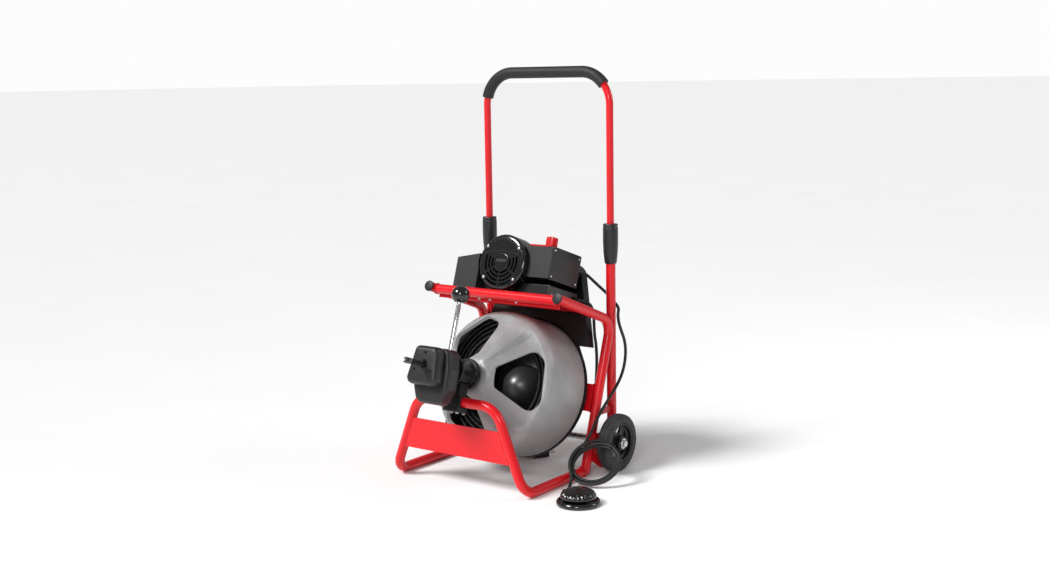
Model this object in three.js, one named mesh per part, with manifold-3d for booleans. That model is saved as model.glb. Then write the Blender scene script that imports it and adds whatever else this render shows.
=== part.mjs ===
// Drum-type drain cleaning machine on a wheeled tube frame, with a powered cable feed and an air foot pedal.
// Millimetres. +X is the machine's right as seen from its front, +Y points to the back, +Z is up, the floor is z = 0.
import * as THREE from 'three';
import { mergeVertices } from 'three/addons/utils/BufferGeometryUtils.js';
import Module from 'manifold-3d';

const manifold = await Module();
manifold.setup();

// Driving dimensions -----------------------------------------------------------------------------
const GAP = 0.3;                 // between pieces that touch
const TUBE_R = 12.7;             // frame tube
const FRAME_X = 208;             // side frames' centre planes
const ARCH_Y = -118;             // plane of the front arch
const ARCH_TOP_Z = 223;
const ARCH_TOP_X = 124;          // where the arch's legs would meet its top bar
const FOOT_BEND_R = 42;
const ARCH_BEND_R = 65;

const TILT = THREE.MathUtils.degToRad(18.5);   // drum, motor and uprights lean back by this
const DRUM_Y = 177;              // centre of the drum's rear ring
const DRUM_Z = 201;
const DRUM_R = 184;
const UPRIGHT_V = 32;            // upright's distance behind the drum's rear ring, along the drum's axis
const RAIL_REAR_W = 207.5;       // height of the top rails above the drum's axis, back and front
const RAIL_FRONT_W = 218.6;
const RAIL_FRONT_V = -224;
const RAIL_BEND_R = 45;
const CROSSBAR = [-207, 216];      // centre of the bar that joins the two top rails

const POST_X = 200;              // telescopic handle
const POST_Y = 287.5;
const POST_BOTTOM_Z = 100;
const POST_TOP_Z = 600;
const POST_BORE_R = 10.4;
const BOW_R = 9.5;
const BOW_BOTTOM_Z = 556;
const BOW_TOP_Z = 1036;
const BOW_BEND_R = 86;
const GRIP_R = 15.3;
const COLLAR_BOTTOM_Z = 538;
const COLLAR_TOP_Z = 642;

const WHEEL_R = 76;
const AXLE_Y = 228;
const AXLE_R = 8;
const WHEEL_X = 236;             // wheel's inner face
const WHEEL_WIDTH = 37;

const MOTOR_W = 302;             // motor axis above the drum's axis
const MOTOR_R = 68;
const SHROUD_R = 74;
const BELT_V = 8.5;              // middle of the belt
const BELT_WIDTH = 7;
const BELT_THICKNESS = 7;
const DRUM_GROOVE_R = 177.5;
const PULLEY_GROOVE_R = 23;
const BELT_CLEARANCE = 1.2;

const CABLE_R = 6.35;
const CABLE_TIP_V = -508.4;
const HOSE_R = 4;
const CORD_R = 4;

// Finishes ---------------------------------------------------------------------------------------
const finish = (color, roughness, metalness) => new THREE.MeshStandardMaterial({ color, roughness, metalness });
const RED = finish(0xe3252b, 0.35, 0.1);
const BLACK = finish(0x1c1c1c, 0.5, 0);
const GLOSS = finish(0x0a0a0a, 0.15, 0);
const GREY = finish(0x9c9d9f, 0.45, 0);
const CHARCOAL = finish(0x3b3b3b, 0.5, 0);
const RUBBER = finish(0x2b2b2b, 0.85, 0);
const FOAM = finish(0x1e1e1f, 0.75, 0);
const ZINC = finish(0xb9bcc0, 0.3, 0.9);
const CHROME = finish(0xd8dade, 0.12, 1);
const STEEL = finish(0x6b6e72, 0.4, 0.8);

// Solids and booleans ----------------------------------------------------------------------------
function toSolid(geometry) {
  const bare = geometry.clone();
  bare.deleteAttribute('normal');
  bare.deleteAttribute('uv');
  const merged = mergeVertices(bare, 1e-4);
  const place = merged.attributes.position;
  const corner = (i) => new THREE.Vector3().fromBufferAttribute(place, i);
  const triangles = [];
  let volume = 0;
  for (let i = 0; i < merged.index.count; i += 3) {
    const [a, b, c] = [0, 1, 2].map((k) => merged.index.getX(i + k));
    if (a === b || b === c || c === a) continue;
    triangles.push([a, b, c]);
    volume += corner(a).dot(corner(b).cross(corner(c)));
  }
  const outward = volume > 0 ? triangles : triangles.map(([a, b, c]) => [a, c, b]);
  return new manifold.Manifold(new manifold.Mesh({
    numProp: 3,
    vertProperties: Float32Array.from(place.array),
    triVerts: Uint32Array.from(outward.flat()),
  }));
}

function toGeometry(solid) {
  const { vertProperties, triVerts } = solid.getMesh();
  const geometry = new THREE.BufferGeometry();
  geometry.setAttribute('position', new THREE.BufferAttribute(vertProperties, 3));
  geometry.setIndex(new THREE.BufferAttribute(triVerts, 1));
  return geometry;
}

const plain = (geometry) => toGeometry(toSolid(geometry));
const cut = (body, ...tools) => toGeometry(tools.reduce((rest, tool) => rest.subtract(toSolid(tool)), toSolid(body)));
const join = (...bodies) => toGeometry(bodies.map(toSolid).reduce((all, body) => all.add(body)));

// Shapes -----------------------------------------------------------------------------------------
const vector = (point) => new THREE.Vector3(...point);

function block([x0, y0, z0], [x1, y1, z1]) {
  const box = new THREE.BoxGeometry(x1 - x0, y1 - y0, z1 - z0);
  return box.translate((x0 + x1) / 2, (y0 + y1) / 2, (z0 + z1) / 2);
}

function rod(from, to, radius, sides = 12, endRadius = radius) {
  const [start, end] = [vector(from), vector(to)];
  const along = end.clone().sub(start);
  const cylinder = new THREE.CylinderGeometry(endRadius, radius, along.length(), sides);
  cylinder.applyQuaternion(new THREE.Quaternion().setFromUnitVectors(new THREE.Vector3(0, 1, 0), along.normalize()));
  const middle = start.add(end).multiplyScalar(0.5);
  return cylinder.translate(middle.x, middle.y, middle.z);
}

// A solid turned about the Y axis from [radius, y] pairs; a ring's profile repeats its first pair at the end.
const turned = (profile, segments = 24) =>
  new THREE.LatheGeometry(profile.map(([r, y]) => new THREE.Vector2(r, y)), segments);
const ring = (inner, outer, y0, y1, segments = 24) =>
  turned([[inner, y0], [outer, y0], [outer, y1], [inner, y1], [inner, y0]], segments);

// A closed outline whose corners, [x, y, radius], are rounded.
function outline(corners) {
  const shape = new THREE.Shape();
  corners.forEach(([x, y, radius = 0], i) => {
    const here = new THREE.Vector2(x, y);
    const [before, after] = [corners.at(i - 1), corners[(i + 1) % corners.length]]
      .map(([nextX, nextY]) => new THREE.Vector2(nextX, nextY).sub(here).normalize().multiplyScalar(radius).add(here));
    if (i === 0) shape.moveTo(before.x, before.y);
    else shape.lineTo(before.x, before.y);
    if (radius > 0) shape.quadraticCurveTo(x, y, after.x, after.y);
  });
  shape.closePath();
  return shape;
}

// An outline in x and z, extruded along Y from y0 to y1, with rounded edges where bevel is given.
function slabAlongY(shape, y0, y1, bevel = 0, curveSegments = 4) {
  const slab = new THREE.ExtrudeGeometry(shape, {
    depth: y1 - y0 - 2 * bevel, curveSegments, bevelEnabled: bevel > 0,
    bevelThickness: bevel, bevelSize: bevel, bevelOffset: -bevel, bevelSegments: 2,
  });
  return slab.rotateX(Math.PI / 2).translate(0, y1 - bevel, 0);
}

// An outline in y and z, extruded along X.
function slabAlongX(shape, x0, x1, curveSegments = 4) {
  const slab = new THREE.ExtrudeGeometry(shape, { depth: x1 - x0, curveSegments, bevelEnabled: false });
  const turn = new THREE.Matrix4().makeBasis(vector([0, 1, 0]), vector([0, 0, 1]), vector([1, 0, 0]));
  return slab.applyMatrix4(turn).translate(x0, 0, 0);
}

// A path with one extrusion step for each of its points.
class Route extends THREE.Curve {
  constructor(points) {
    super();
    this.points = points;
  }

  getPointAt(u) {
    const place = u * (this.points.length - 1);
    const before = Math.min(Math.floor(place + 1e-6), this.points.length - 2);
    return this.points[before].clone().lerp(this.points[before + 1], place - before);
  }

  getTangentAt(u) {
    const here = Math.round(u * (this.points.length - 1));
    const direction = (i) => this.points[i + 1].clone().sub(this.points[i]).normalize();
    const first = direction(Math.max(here - 1, 0));
    return first.add(direction(Math.min(here, this.points.length - 2))).normalize();
  }
}

// A bent tube's centre line: straight runs between its corners, [x, y, z, bend radius], with an arc at each.
function bent(corners, stepDegrees = 20) {
  const points = [];
  corners.forEach((corner, i) => {
    const here = vector(corner.slice(0, 3));
    const radius = corner[3] ?? 0;
    if (radius === 0) {
      points.push(here);
      return;
    }
    const back = vector(corners[i - 1].slice(0, 3)).sub(here).normalize();
    const ahead = vector(corners[i + 1].slice(0, 3)).sub(here).normalize();
    const turn = Math.PI - back.angleTo(ahead);
    const start = here.clone().addScaledVector(back, radius * Math.tan(turn / 2));
    const centre = back.clone().add(ahead).normalize().multiplyScalar(radius / Math.cos(turn / 2)).add(here);
    const steps = Math.ceil(turn / THREE.MathUtils.degToRad(stepDegrees));
    for (let k = 0; k <= steps; k++) {
      const angle = (turn * k) / steps;
      points.push(start.clone().sub(centre).multiplyScalar(Math.cos(angle))
        .addScaledVector(back, -radius * Math.sin(angle)).add(centre));
    }
  });
  return points;
}

function tube(points, radius, sides = 12, bore = 0) {
  const section = new THREE.Shape().absarc(0, 0, radius, 0, 2 * Math.PI);
  if (bore > 0) section.holes.push(new THREE.Path().absarc(0, 0, bore, 0, 2 * Math.PI, true));
  const steps = points.length - 1;
  return new THREE.ExtrudeGeometry(section, { steps, curveSegments: sides / 2, extrudePath: new Route(points) });
}

// A soft line through hand-set points, with a step for every few diameters of its length.
function soft(points, step) {
  const curve = new THREE.CatmullRomCurve3(points.map(vector), false, 'centripetal');
  return curve.getSpacedPoints(Math.round(curve.getLength() / step));
}

// The machine and its leaning group --------------------------------------------------------------
// In the leaning group, y runs back along the drum's axis from the rear ring and z rises square to it.
const machine = new THREE.Group();
const leaning = new THREE.Group();
leaning.position.set(0, DRUM_Y, DRUM_Z);
leaning.rotation.x = -TILT;
machine.add(leaning);

function add(group, name, geometry, material) {
  const mesh = new THREE.Mesh(plain(geometry), material);
  mesh.name = name;
  group.add(mesh);
}

// A point of the leaning group, [x, y, z], in the machine's frame.
function level([x, along, up]) {
  return [
    x,
    DRUM_Y + along * Math.cos(TILT) + up * Math.sin(TILT),
    DRUM_Z - along * Math.sin(TILT) + up * Math.cos(TILT),
  ];
}

const SIDES = [['left', -1], ['right', 1]];

// Frame ------------------------------------------------------------------------------------------
function frame() {
  const railEnd = DRUM_Y - 47;
  const arch = bent([
    [-FRAME_X, railEnd, TUBE_R],
    [-FRAME_X, ARCH_Y, TUBE_R, FOOT_BEND_R],
    [-ARCH_TOP_X, ARCH_Y, ARCH_TOP_Z, ARCH_BEND_R],
    [ARCH_TOP_X, ARCH_Y, ARCH_TOP_Z, ARCH_BEND_R],
    [FRAME_X, ARCH_Y, TUBE_R, FOOT_BEND_R],
    [FRAME_X, railEnd, TUBE_R],
  ]);
  add(machine, 'front_arch', tube(arch, TUBE_R), RED);

  const uprightFoot = -196;
  for (const [side, sign] of SIDES) {
    const line = bent([
      [sign * FRAME_X, UPRIGHT_V, uprightFoot],
      [sign * FRAME_X, UPRIGHT_V, RAIL_REAR_W, RAIL_BEND_R],
      [sign * FRAME_X, RAIL_FRONT_V, RAIL_FRONT_W],
    ]);
    add(leaning, `${side}_upright`, tube(line, TUBE_R), RED);
    const forward = vector([0, RAIL_FRONT_V - UPRIGHT_V, RAIL_FRONT_W - RAIL_REAR_W]).normalize();
    const beyond = (distance) => line.at(-1).clone().addScaledVector(forward, distance).toArray();
    add(leaning, `${side}_rail_cap`, rod(beyond(GAP), beyond(6), 14.5, 12, 12), BLACK);
  }
}

function frontPanel() {
  const [bottomZ, topZ, faceY, thickness] = [85, 165, ARCH_Y - 8, 3];
  const lean = (FRAME_X - ARCH_TOP_X) / (ARCH_TOP_Z - TUBE_R);
  const halfWidth = (z) => FRAME_X - lean * (z - TUBE_R) - 11.4;
  const panel = outline([
    [-halfWidth(bottomZ), bottomZ], [halfWidth(bottomZ), bottomZ], [halfWidth(topZ), topZ], [-halfWidth(topZ), topZ],
  ]);
  add(machine, 'front_panel', slabAlongY(panel, faceY - thickness / 2, faceY + thickness / 2), RED);
}

function crossMembers() {
  const inner = FRAME_X - TUBE_R - GAP;
  add(leaning, 'front_crossbar', rod([-inner, ...CROSSBAR], [inner, ...CROSSBAR], TUBE_R), RED);

  const plate = block([-inner, -193, 213], [inner, -25, 217]);
  const apron = block([-inner, -193, 196], [inner, -190, 214]);
  add(leaning, 'motor_plate', join(plate, apron), RED);

  const bearingPlate = slabAlongY(outline([[-inner, -36, 4], [inner, -36, 4], [inner, 36, 4], [-inner, 36, 4]]), 25, 30);
  const housing = rod([0, 21, 0], [0, 34, 0], 21, 16);
  add(leaning, 'bearing_plate', cut(join(bearingPlate, housing), rod([0, 15, 0], [0, 40, 0], 11.2, 16)), RED);
}

function handle() {
  const lugHeights = [150, 300];
  for (const [side, sign] of SIDES) {
    const x = sign * POST_X;
    const post = rod([x, POST_Y, POST_BOTTOM_Z], [x, POST_Y, POST_TOP_Z], TUBE_R);
    const lugs = lugHeights.map((z) => {
      const uprightY = level([0, UPRIGHT_V, (z - DRUM_Z) / Math.cos(TILT) + UPRIGHT_V * Math.tan(TILT)])[1];
      return block([x - 3, uprightY + TUBE_R / Math.cos(TILT) + 3.4, z - 8], [x + 3, POST_Y - 6, z + 8]);
    });
    const bore = rod([x, POST_Y, POST_BOTTOM_Z - 5], [x, POST_Y, POST_TOP_Z + 5], POST_BORE_R);
    add(machine, `${side}_post`, cut(join(post, ...lugs), bore), RED);
    const collar = turned([
      [13.7, COLLAR_BOTTOM_Z], [15.6, COLLAR_BOTTOM_Z], [20, 590], [19.6, COLLAR_TOP_Z],
      [10.6, COLLAR_TOP_Z], [10.6, POST_TOP_Z + 2], [13.7, POST_TOP_Z + 2], [13.7, COLLAR_BOTTOM_Z],
    ], 12);
    add(machine, `${side}_post_collar`, collar.rotateX(Math.PI / 2).translate(x, POST_Y, 0), CHARCOAL);
  }
  const bow = bent([
    [-POST_X, POST_Y, BOW_BOTTOM_Z],
    [-POST_X, POST_Y, BOW_TOP_Z, BOW_BEND_R],
    [POST_X, POST_Y, BOW_TOP_Z, BOW_BEND_R],
    [POST_X, POST_Y, BOW_BOTTOM_Z],
  ]);
  add(machine, 'handle_bow', tube(bow, BOW_R), RED);
  const arcSteps = 5;
  const gripEndLeft = 2;
  const covered = bow.slice(gripEndLeft, bow.length - 1 - Math.floor(arcSteps / 2));
  add(machine, 'handle_grip', tube(covered, GRIP_R, 12, BOW_R + 0.5), FOAM);
}

// Wheels -----------------------------------------------------------------------------------------
function wheels() {
  const rimR = 52;
  for (const [side, sign] of SIDES) {
    const place = (part) => part.rotateZ(-sign * Math.PI / 2).translate(sign * WHEEL_X, AXLE_Y, WHEEL_R);
    const tyre = turned([
      [rimR + GAP, 2], [69, 1], [WHEEL_R, 9], [WHEEL_R, 28], [69, 36], [rimR + GAP, 35], [rimR + GAP, 2],
    ], 24);
    add(machine, `${side}_tyre`, place(tyre), RUBBER);
    const hub = ring(9.4, 19, 0, WHEEL_WIDTH, 12);
    const web = ring(9.4, 49, 16, 21, 24);
    const band = ring(46.5, rimR, 3, 34, 24);
    const spokeCount = 5;
    const windows = Array.from({ length: spokeCount }, (_, i) => {
      const angle = (2 * Math.PI * i) / spokeCount;
      const hole = slabAlongY(outline([[-8, 24, 4], [8, 24, 4], [17, 42, 7], [-17, 42, 7]]), 12, 25, 0, 1);
      return hole.rotateY(angle);
    });
    add(machine, `${side}_rim`, place(cut(join(hub, web, band), ...windows)), BLACK);
    const bracket = outline([
      [DRUM_Y - 30, 44, 6], [DRUM_Y - 8, 108, 8], [AXLE_Y + 24, 100, 12], [AXLE_Y + 24, 56, 12], [AXLE_Y - 6, 8, 6],
      [DRUM_Y + 18, 12, 6],
    ]);
    const plateX = FRAME_X + TUBE_R + GAP;
    const [inner, outer] = sign > 0 ? [plateX, plateX + 4] : [-plateX - 4, -plateX];
    const plate = slabAlongX(bracket, inner, outer, 2);
    const bore = rod([inner - 5, AXLE_Y, WHEEL_R], [outer + 5, AXLE_Y, WHEEL_R], AXLE_R + 0.5);
    add(machine, `${side}_axle_bracket`, cut(plate, bore), RED);
  }
  const nutX = WHEEL_X + WHEEL_WIDTH;
  const shaft = rod([-nutX - 4, AXLE_Y, WHEEL_R], [nutX + 4, AXLE_Y, WHEEL_R], AXLE_R);
  const nuts = SIDES.flatMap(([, sign]) => [
    rod([sign * (nutX + 1), AXLE_Y, WHEEL_R], [sign * (nutX + 3), AXLE_Y, WHEEL_R], 14, 16),
    rod([sign * (nutX + 2), AXLE_Y, WHEEL_R], [sign * (nutX + 9), AXLE_Y, WHEEL_R], 10, 6),
  ]);
  add(machine, 'axle', join(shaft, ...nuts), ZINC);
}

// Drum -------------------------------------------------------------------------------------------
const DRUM_SEGMENTS = 36;
const LOBE_START = THREE.MathUtils.degToRad(3);     // direction of the first window, from +X towards up
const THIRDS = [0, 1, 2].map((i) => LOBE_START + (i * 2 * Math.PI) / 3);

// How far the front shell is pressed in between its windows, at a radius and a direction.
function crease(radius, direction) {
  const [start, deepest, end, depth] = [62, 142, 172, 13];
  if (radius < start || radius > end) return 0;
  const rise = radius < deepest ? (radius - start) / (deepest - start) : (end - radius) / (end - deepest);
  const halfWidth = 0.16 + 0.2 * ((radius - start) / (end - start));
  const offset = Math.min(...THIRDS.map((lobe) => {
    const from = direction - lobe - Math.PI / 3;
    return Math.abs(Math.atan2(Math.sin(from), Math.cos(from)));
  }));
  return depth * rise * Math.max(0, 1 - offset / halfWidth);
}

function drum() {
  const outer = [
    [DRUM_R, 0], [DRUM_R, -130], [180, -147], [170, -161], [142, -179], [58, -229], [46, -238], [25, -241], [25, -263],
  ];
  const inner = [
    [14, -263], [14, -237], [44, -234], [57, -225], [141, -175], [168, -158], [177, -145], [181, -130], [181, 0],
  ];
  const shell = turned([...outer, ...inner, outer[0]], DRUM_SEGMENTS);
  const place = shell.attributes.position;
  for (let i = 0; i < place.count; i++) {
    const [x, y, z] = [place.getX(i), place.getY(i), place.getZ(i)];
    place.setY(i, y + crease(Math.hypot(x, z), Math.atan2(z, x)));
  }
  const windows = THIRDS.map((direction) => {
    const hole = outline([[60, -25, 14], [128, -73, 18], [161, -50, 20], [161, 50, 20], [128, 73, 18], [60, 25, 14]]);
    return slabAlongY(hole, -300, -100, 0, 3).rotateY(-direction);
  });
  add(leaning, 'drum_front_shell', cut(shell, ...windows), GREY);

  const grooveFlank = 2;
  const [grooveFront, grooveBack] = [BELT_V - BELT_WIDTH / 2 - 1.5, BELT_V + BELT_WIDTH / 2 + 1.5];
  add(leaning, 'drum_rear_shell', turned([
    [10.4, -28], [22, -28], [22, 1], [DRUM_R, 1], [DRUM_R, grooveFront - grooveFlank], [DRUM_GROOVE_R, grooveFront],
    [DRUM_GROOVE_R, grooveBack], [DRUM_R, grooveBack + grooveFlank], [172, grooveBack + grooveFlank], [172, 5],
    [30, 5], [30, 18], [10.4, 18], [10.4, -28],
  ], DRUM_SEGMENTS), BLACK);

  add(leaning, 'inner_drum', turned([
    [14, -92], [36, -83], [62, -60], [84, -32], [97, -1], [93, -1], [80, -31], [59, -57], [34, -79], [14, -88],
    [14, -92],
  ], 24), GLOSS);
  add(leaning, 'cable_coil', turned([
    [112, -8], [170, -8], [176, -14], [176, -106], [166, -118], [124, -118], [112, -106], [112, -8],
  ], 28), STEEL);
  const shaft = rod([0, -50, 0], [0, 46, 0], 10, 16);
  const nut = rod([0, 36, 0], [0, 46, 0], 16, 6);
  add(leaning, 'drum_shaft', join(shaft, nut), ZINC);
}

// The cable leaves the coil, bends onto the axis and runs out through the nose and the feed.
function cable() {
  const direction = THREE.MathUtils.degToRad(42);
  const inside = [[144, -122.6], [134, -140], [105, -164], [66, -186], [32, -206], [8, -228], [0, -250]];
  const line = soft(inside.map(([r, y]) => [r * Math.cos(direction), y, r * Math.sin(direction)]), 24);
  const fork = rod([0, CABLE_TIP_V, 0], [0, CABLE_TIP_V + 16, 0], 7.6);
  const slot = block([-9, CABLE_TIP_V - 1, -2.2], [9, CABLE_TIP_V + 8, 2.2]);
  const lead = tube([...line, vector([0, CABLE_TIP_V + 12, 0])], CABLE_R, 10);
  add(leaning, 'cable_end', cut(join(lead, fork), slot), STEEL);
}

// Cable feed -------------------------------------------------------------------------------------
function guideStand() {
  const axisV = -286.7;
  const barW = -72.7;
  const spool = turned([
    [9.5, -278], [26.8, -278], [26.8, -258], [39.5, -258], [39.5, -268], [30, -270], [30, -324], [39.5, -326],
    [39.5, -332], [20, -332], [20, -372], [9.5, -372], [9.5, -278],
  ], 20);
  const stem = block([-19, -305, -60], [19, -268, -27]);
  const saddle = block([-26, -305, -86], [26, -268, -56]);
  const bar = rod([-40, axisV, barW], [40, axisV, barW], TUBE_R + 0.6, 20);
  add(leaning, 'guide_stand', cut(join(spool, stem, saddle), bar), BLACK);
  const strap = slabAlongX(outline([[-306, -100, 3], [-267, -100, 3], [-267, -86.4], [-306, -86.4]]), -24, 24);
  add(leaning, 'stand_clamp', cut(strap, bar), ZINC);
}

function feedHousing() {
  const body = outline([
    [-40, 47, 14], [40, 47, 14], [52, 0, 12], [53, -52, 16], [36, -92, 24], [-36, -92, 24], [-53, -52, 16], [-52, 0, 12],
  ]);
  const pocket = rod([0, -410, 0], [0, -366, 0], 41.5, 16);
  const rearBore = rod([0, -370, 0], [0, -350, 0], 21, 16);
  add(leaning, 'feed_housing_rear', cut(slabAlongY(body, -404, -358, 7, 2), pocket, rearBore), CHARCOAL);

  const nose = outline([[-31, 47, 12], [31, 47, 12], [50, -53, 14], [-50, -53, 14]]);
  const screws = [90, 210, 330].map((degrees) => {
    const angle = THREE.MathUtils.degToRad(degrees);
    const [x, z] = [29 * Math.cos(angle), 29 * Math.sin(angle)];
    return rod([x, -440, z], [x, -428, z], 3.4, 6);
  });
  const mouth = rod([0, -440, 0], [0, -400, 0], 10, 12);
  const room = rod([0, -420, 0], [0, -400, 0], 36, 16);
  add(leaning, 'feed_housing_front', cut(slabAlongY(nose, -432, -404.3, 6, 2), mouth, room, ...screws), CHARCOAL);
}

const ROLLER_DIRECTIONS = [90, 210, 330].map(THREE.MathUtils.degToRad);
const ROLLER_OFFSET = 18.8;

function feedRollers() {
  const pins = ROLLER_DIRECTIONS.map((angle) => {
    const [x, z] = [ROLLER_OFFSET * Math.cos(angle), ROLLER_OFFSET * Math.sin(angle)];
    return rod([x, -414, z], [x, -392, z], 2.8, 8);
  });
  add(leaning, 'roller_carrier', join(ring(9.5, 33, -396, -390, 16), ...pins), ZINC);
  ROLLER_DIRECTIONS.forEach((angle, i) => {
    const roller = ring(3.7, 11, -410, -398, 12);
    roller.translate(ROLLER_OFFSET * Math.cos(angle), 0, ROLLER_OFFSET * Math.sin(angle));
    add(leaning, `feed_roller_${i + 1}`, roller, STEEL);
  });
}

function feedLever() {
  const [v, knobW] = [-346, 189];
  const boss = rod([0, v, 26], [0, v, 40], 9);
  const socket = rod([0, v, 33], [0, v, 45], 6.3);
  const yoke = cut(join(ring(21.6, 32, v - 8, v + 8, 16), boss), rod([0, v - 12, 0], [0, v + 12, 0], 21.6, 16), socket);
  add(leaning, 'lever_yoke', yoke, BLACK);
  add(leaning, 'lever_rod', rod([0, v, 33.3], [0, v, 169.7], 6), CHROME);
  const ball = turned([
    [0, 170], [10, 170], [19.5, 176], [23.2, knobW], [19.5, 202], [11, 209.5], [0, 212.2],
  ], 16);
  add(leaning, 'lever_knob', ball.rotateX(Math.PI / 2).translate(0, v, 0), GLOSS);
}

// Motor and belt drive ---------------------------------------------------------------------------
// A straight-sided loop round the drum and the motor pulley, at the given two radii.
function loop(drumR, pulleyR, hole = false) {
  const lean = Math.asin((drumR - pulleyR) / MOTOR_W);
  const path = hole ? new THREE.Path() : new THREE.Shape();
  path.absarc(0, MOTOR_W, pulleyR, lean, Math.PI - lean, false);
  path.absarc(0, 0, drumR, Math.PI - lean, 2 * Math.PI + lean, false);
  path.closePath();
  return path;
}

function beltDrive() {
  const [drumR, pulleyR] = [DRUM_GROOVE_R + BELT_CLEARANCE, PULLEY_GROOVE_R + BELT_CLEARANCE];
  const belt = loop(drumR + BELT_THICKNESS, pulleyR + BELT_THICKNESS);
  belt.holes.push(loop(drumR, pulleyR, true));
  add(leaning, 'drive_belt', slabAlongY(belt, BELT_V - BELT_WIDTH / 2, BELT_V + BELT_WIDTH / 2, 0, 14), RUBBER);
  const flankR = 33;
  const pulley = turned([
    [8.4, 1], [flankR, 1], [flankR, 2.5], [PULLEY_GROOVE_R, 4], [PULLEY_GROOVE_R, 13], [flankR, 14.5], [flankR, 16],
    [8.4, 16], [8.4, 1],
  ], 16);
  add(leaning, 'motor_pulley', pulley.translate(0, 0, MOTOR_W), STEEL);

  const wall = 2.5;
  const guard = outline([[-178, 130], [178, 130], [109, 347, 44], [-109, 347, 44]]);
  const room = outline([[-179, 118], [179, 118], [106.5, 347 - wall, 42], [-106.5, 347 - wall, 42]]);
  const hollow = slabAlongY(room, -3.5, 19, 0, 4);
  const drumRoom = rod([0, -8, 0], [0, 19, 0], DRUM_R + 7, 32);
  const shaftRoom = rod([0, -8, MOTOR_W], [0, 0, MOTOR_W], 20, 16);
  const shell = slabAlongY(guard, -6, 21.5, 0, 4);
  add(leaning, 'belt_guard', cut(shell, hollow, drumRoom, shaftRoom), BLACK);
}

// A slot bent round the motor's axis, between two radii and two angles in degrees.
function arcSlot(inner, outer, from, to) {
  const [a, b] = [from, to].map(THREE.MathUtils.degToRad);
  const slot = new THREE.Shape();
  slot.absarc(0, MOTOR_W, outer, a, b, false);
  slot.absarc(0, MOTOR_W, inner, b, a, true);
  slot.closePath();
  return slabAlongY(slot, -215, -200, 0, 2);
}

function motor() {
  const body = ring(9.4, MOTOR_R, -150, -30, 24).translate(0, 0, MOTOR_W);
  const boss = ring(9.4, 17, -31, -7, 12).translate(0, 0, MOTOR_W);
  const base = block([-70, -175, 217.3], [142, -45, 258]);
  const shroudRoom = rod([0, -200, MOTOR_W], [0, -149.5, MOTOR_W], SHROUD_R + 1, 24);
  add(leaning, 'motor_body', join(body, boss, cut(base, shroudRoom)), BLACK);

  const shaft = rod([0, -190, MOTOR_W], [0, 17, MOTOR_W], 8);
  add(leaning, 'motor_shaft', shaft, STEEL);
  const fanHub = ring(8.3, 16, -186, -168, 12);
  const blades = Array.from({ length: 7 }, (_, i) =>
    block([12, -185, -1.2], [60, -170, 1.2]).rotateY((2 * Math.PI * i) / 7));
  add(leaning, 'cooling_fan', join(fanHub, ...blades).translate(0, 0, MOTOR_W), BLACK);

  const shroud = turned([
    [0, -207], [67, -207], [SHROUD_R, -201], [SHROUD_R, -150.4], [70.6, -150.4], [70.6, -200], [66, -203.5], [0, -203.5],
  ], 24).translate(0, 0, MOTOR_W);
  const ears = [40, 140, 220, 320].map((degrees) => {
    const angle = THREE.MathUtils.degToRad(degrees);
    const [x, z] = [70 * Math.cos(angle), MOTOR_W + 70 * Math.sin(angle)];
    return rod([x, -208.5, z], [x, -201, z], 7, 6);
  });
  const slots = [[29, 35], [40, 46], [51, 57]].flatMap(([inner, outer]) =>
    [160, 217, 274, 331].map((start) => arcSlot(inner, outer, start, start + 49)));
  add(leaning, 'fan_guard', cut(join(shroud, ...ears), ...slots), BLACK);
}

function boxes() {
  const motorRoom = rod([0, -230, MOTOR_W], [0, -149, MOTOR_W], SHROUD_R + 1, 24);
  const bodyRoom = rod([0, -160, MOTOR_W], [0, -20, MOTOR_W], MOTOR_R + 1, 24);
  const barRoom = rod([-160, ...CROSSBAR], [-60, ...CROSSBAR], TUBE_R + 0.6, 16);
  const [boxFront, boxBack, boxLow, boxHigh] = [-187, -61, 273, 354];
  const box = block([50, boxFront, boxLow], [141, boxBack, boxHigh]);
  add(leaning, 'control_box', cut(box, motorRoom, bodyRoom), CHARCOAL);
  const cover = outline([
    [boxFront - 2, boxLow - 2, 4], [boxBack + 2, boxLow - 2, 4], [boxBack + 2, boxHigh + 2, 4], [boxFront - 2, boxHigh + 2, 4],
  ]);
  add(leaning, 'control_box_cover', slabAlongX(cover, 141.3, 145), BLACK);

  add(leaning, 'switch_plate', block([62, -184, 354.3], [128, -136, 359]), RED);
  const lobes = 8;
  const knobOutline = new THREE.Shape(Array.from({ length: lobes * 4 }, (_, i) => {
    const angle = (2 * Math.PI * i) / (lobes * 4);
    const r = 13.4 + 1.1 * Math.cos(lobes * angle);
    return new THREE.Vector2(r * Math.cos(angle), r * Math.sin(angle));
  }));
  const knob = new THREE.ExtrudeGeometry(knobOutline, { depth: 27, bevelEnabled: false });
  add(leaning, 'switch_knob', knob.translate(115, -160, 359.4), RED);

  const capacitorSide = outline([[-145, 217.3], [-70.5, 217.3], [-70.5, 321], [-145, 306]]);
  add(leaning, 'capacitor_box', cut(slabAlongY(capacitorSide, -206, -86), motorRoom, bodyRoom, barRoom), CHARCOAL);

  const gland = turned([[0, -60.6], [8.5, -60.6], [8.5, -52], [6.4, -50], [4.6, -36.4], [0, -36.4]], 12);
  add(leaning, 'hose_gland', gland.translate(125, 0, 322), BLACK);
  const elbow = tube(bent([[142.4, -58, 240], [167, -58, 240, 15], [167, -30, 240]], 30), 6.5, 10);
  add(leaning, 'cord_gland', join(elbow, rod([142.4, -58, 240], [147, -58, 240], 10)), BLACK);
}

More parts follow.
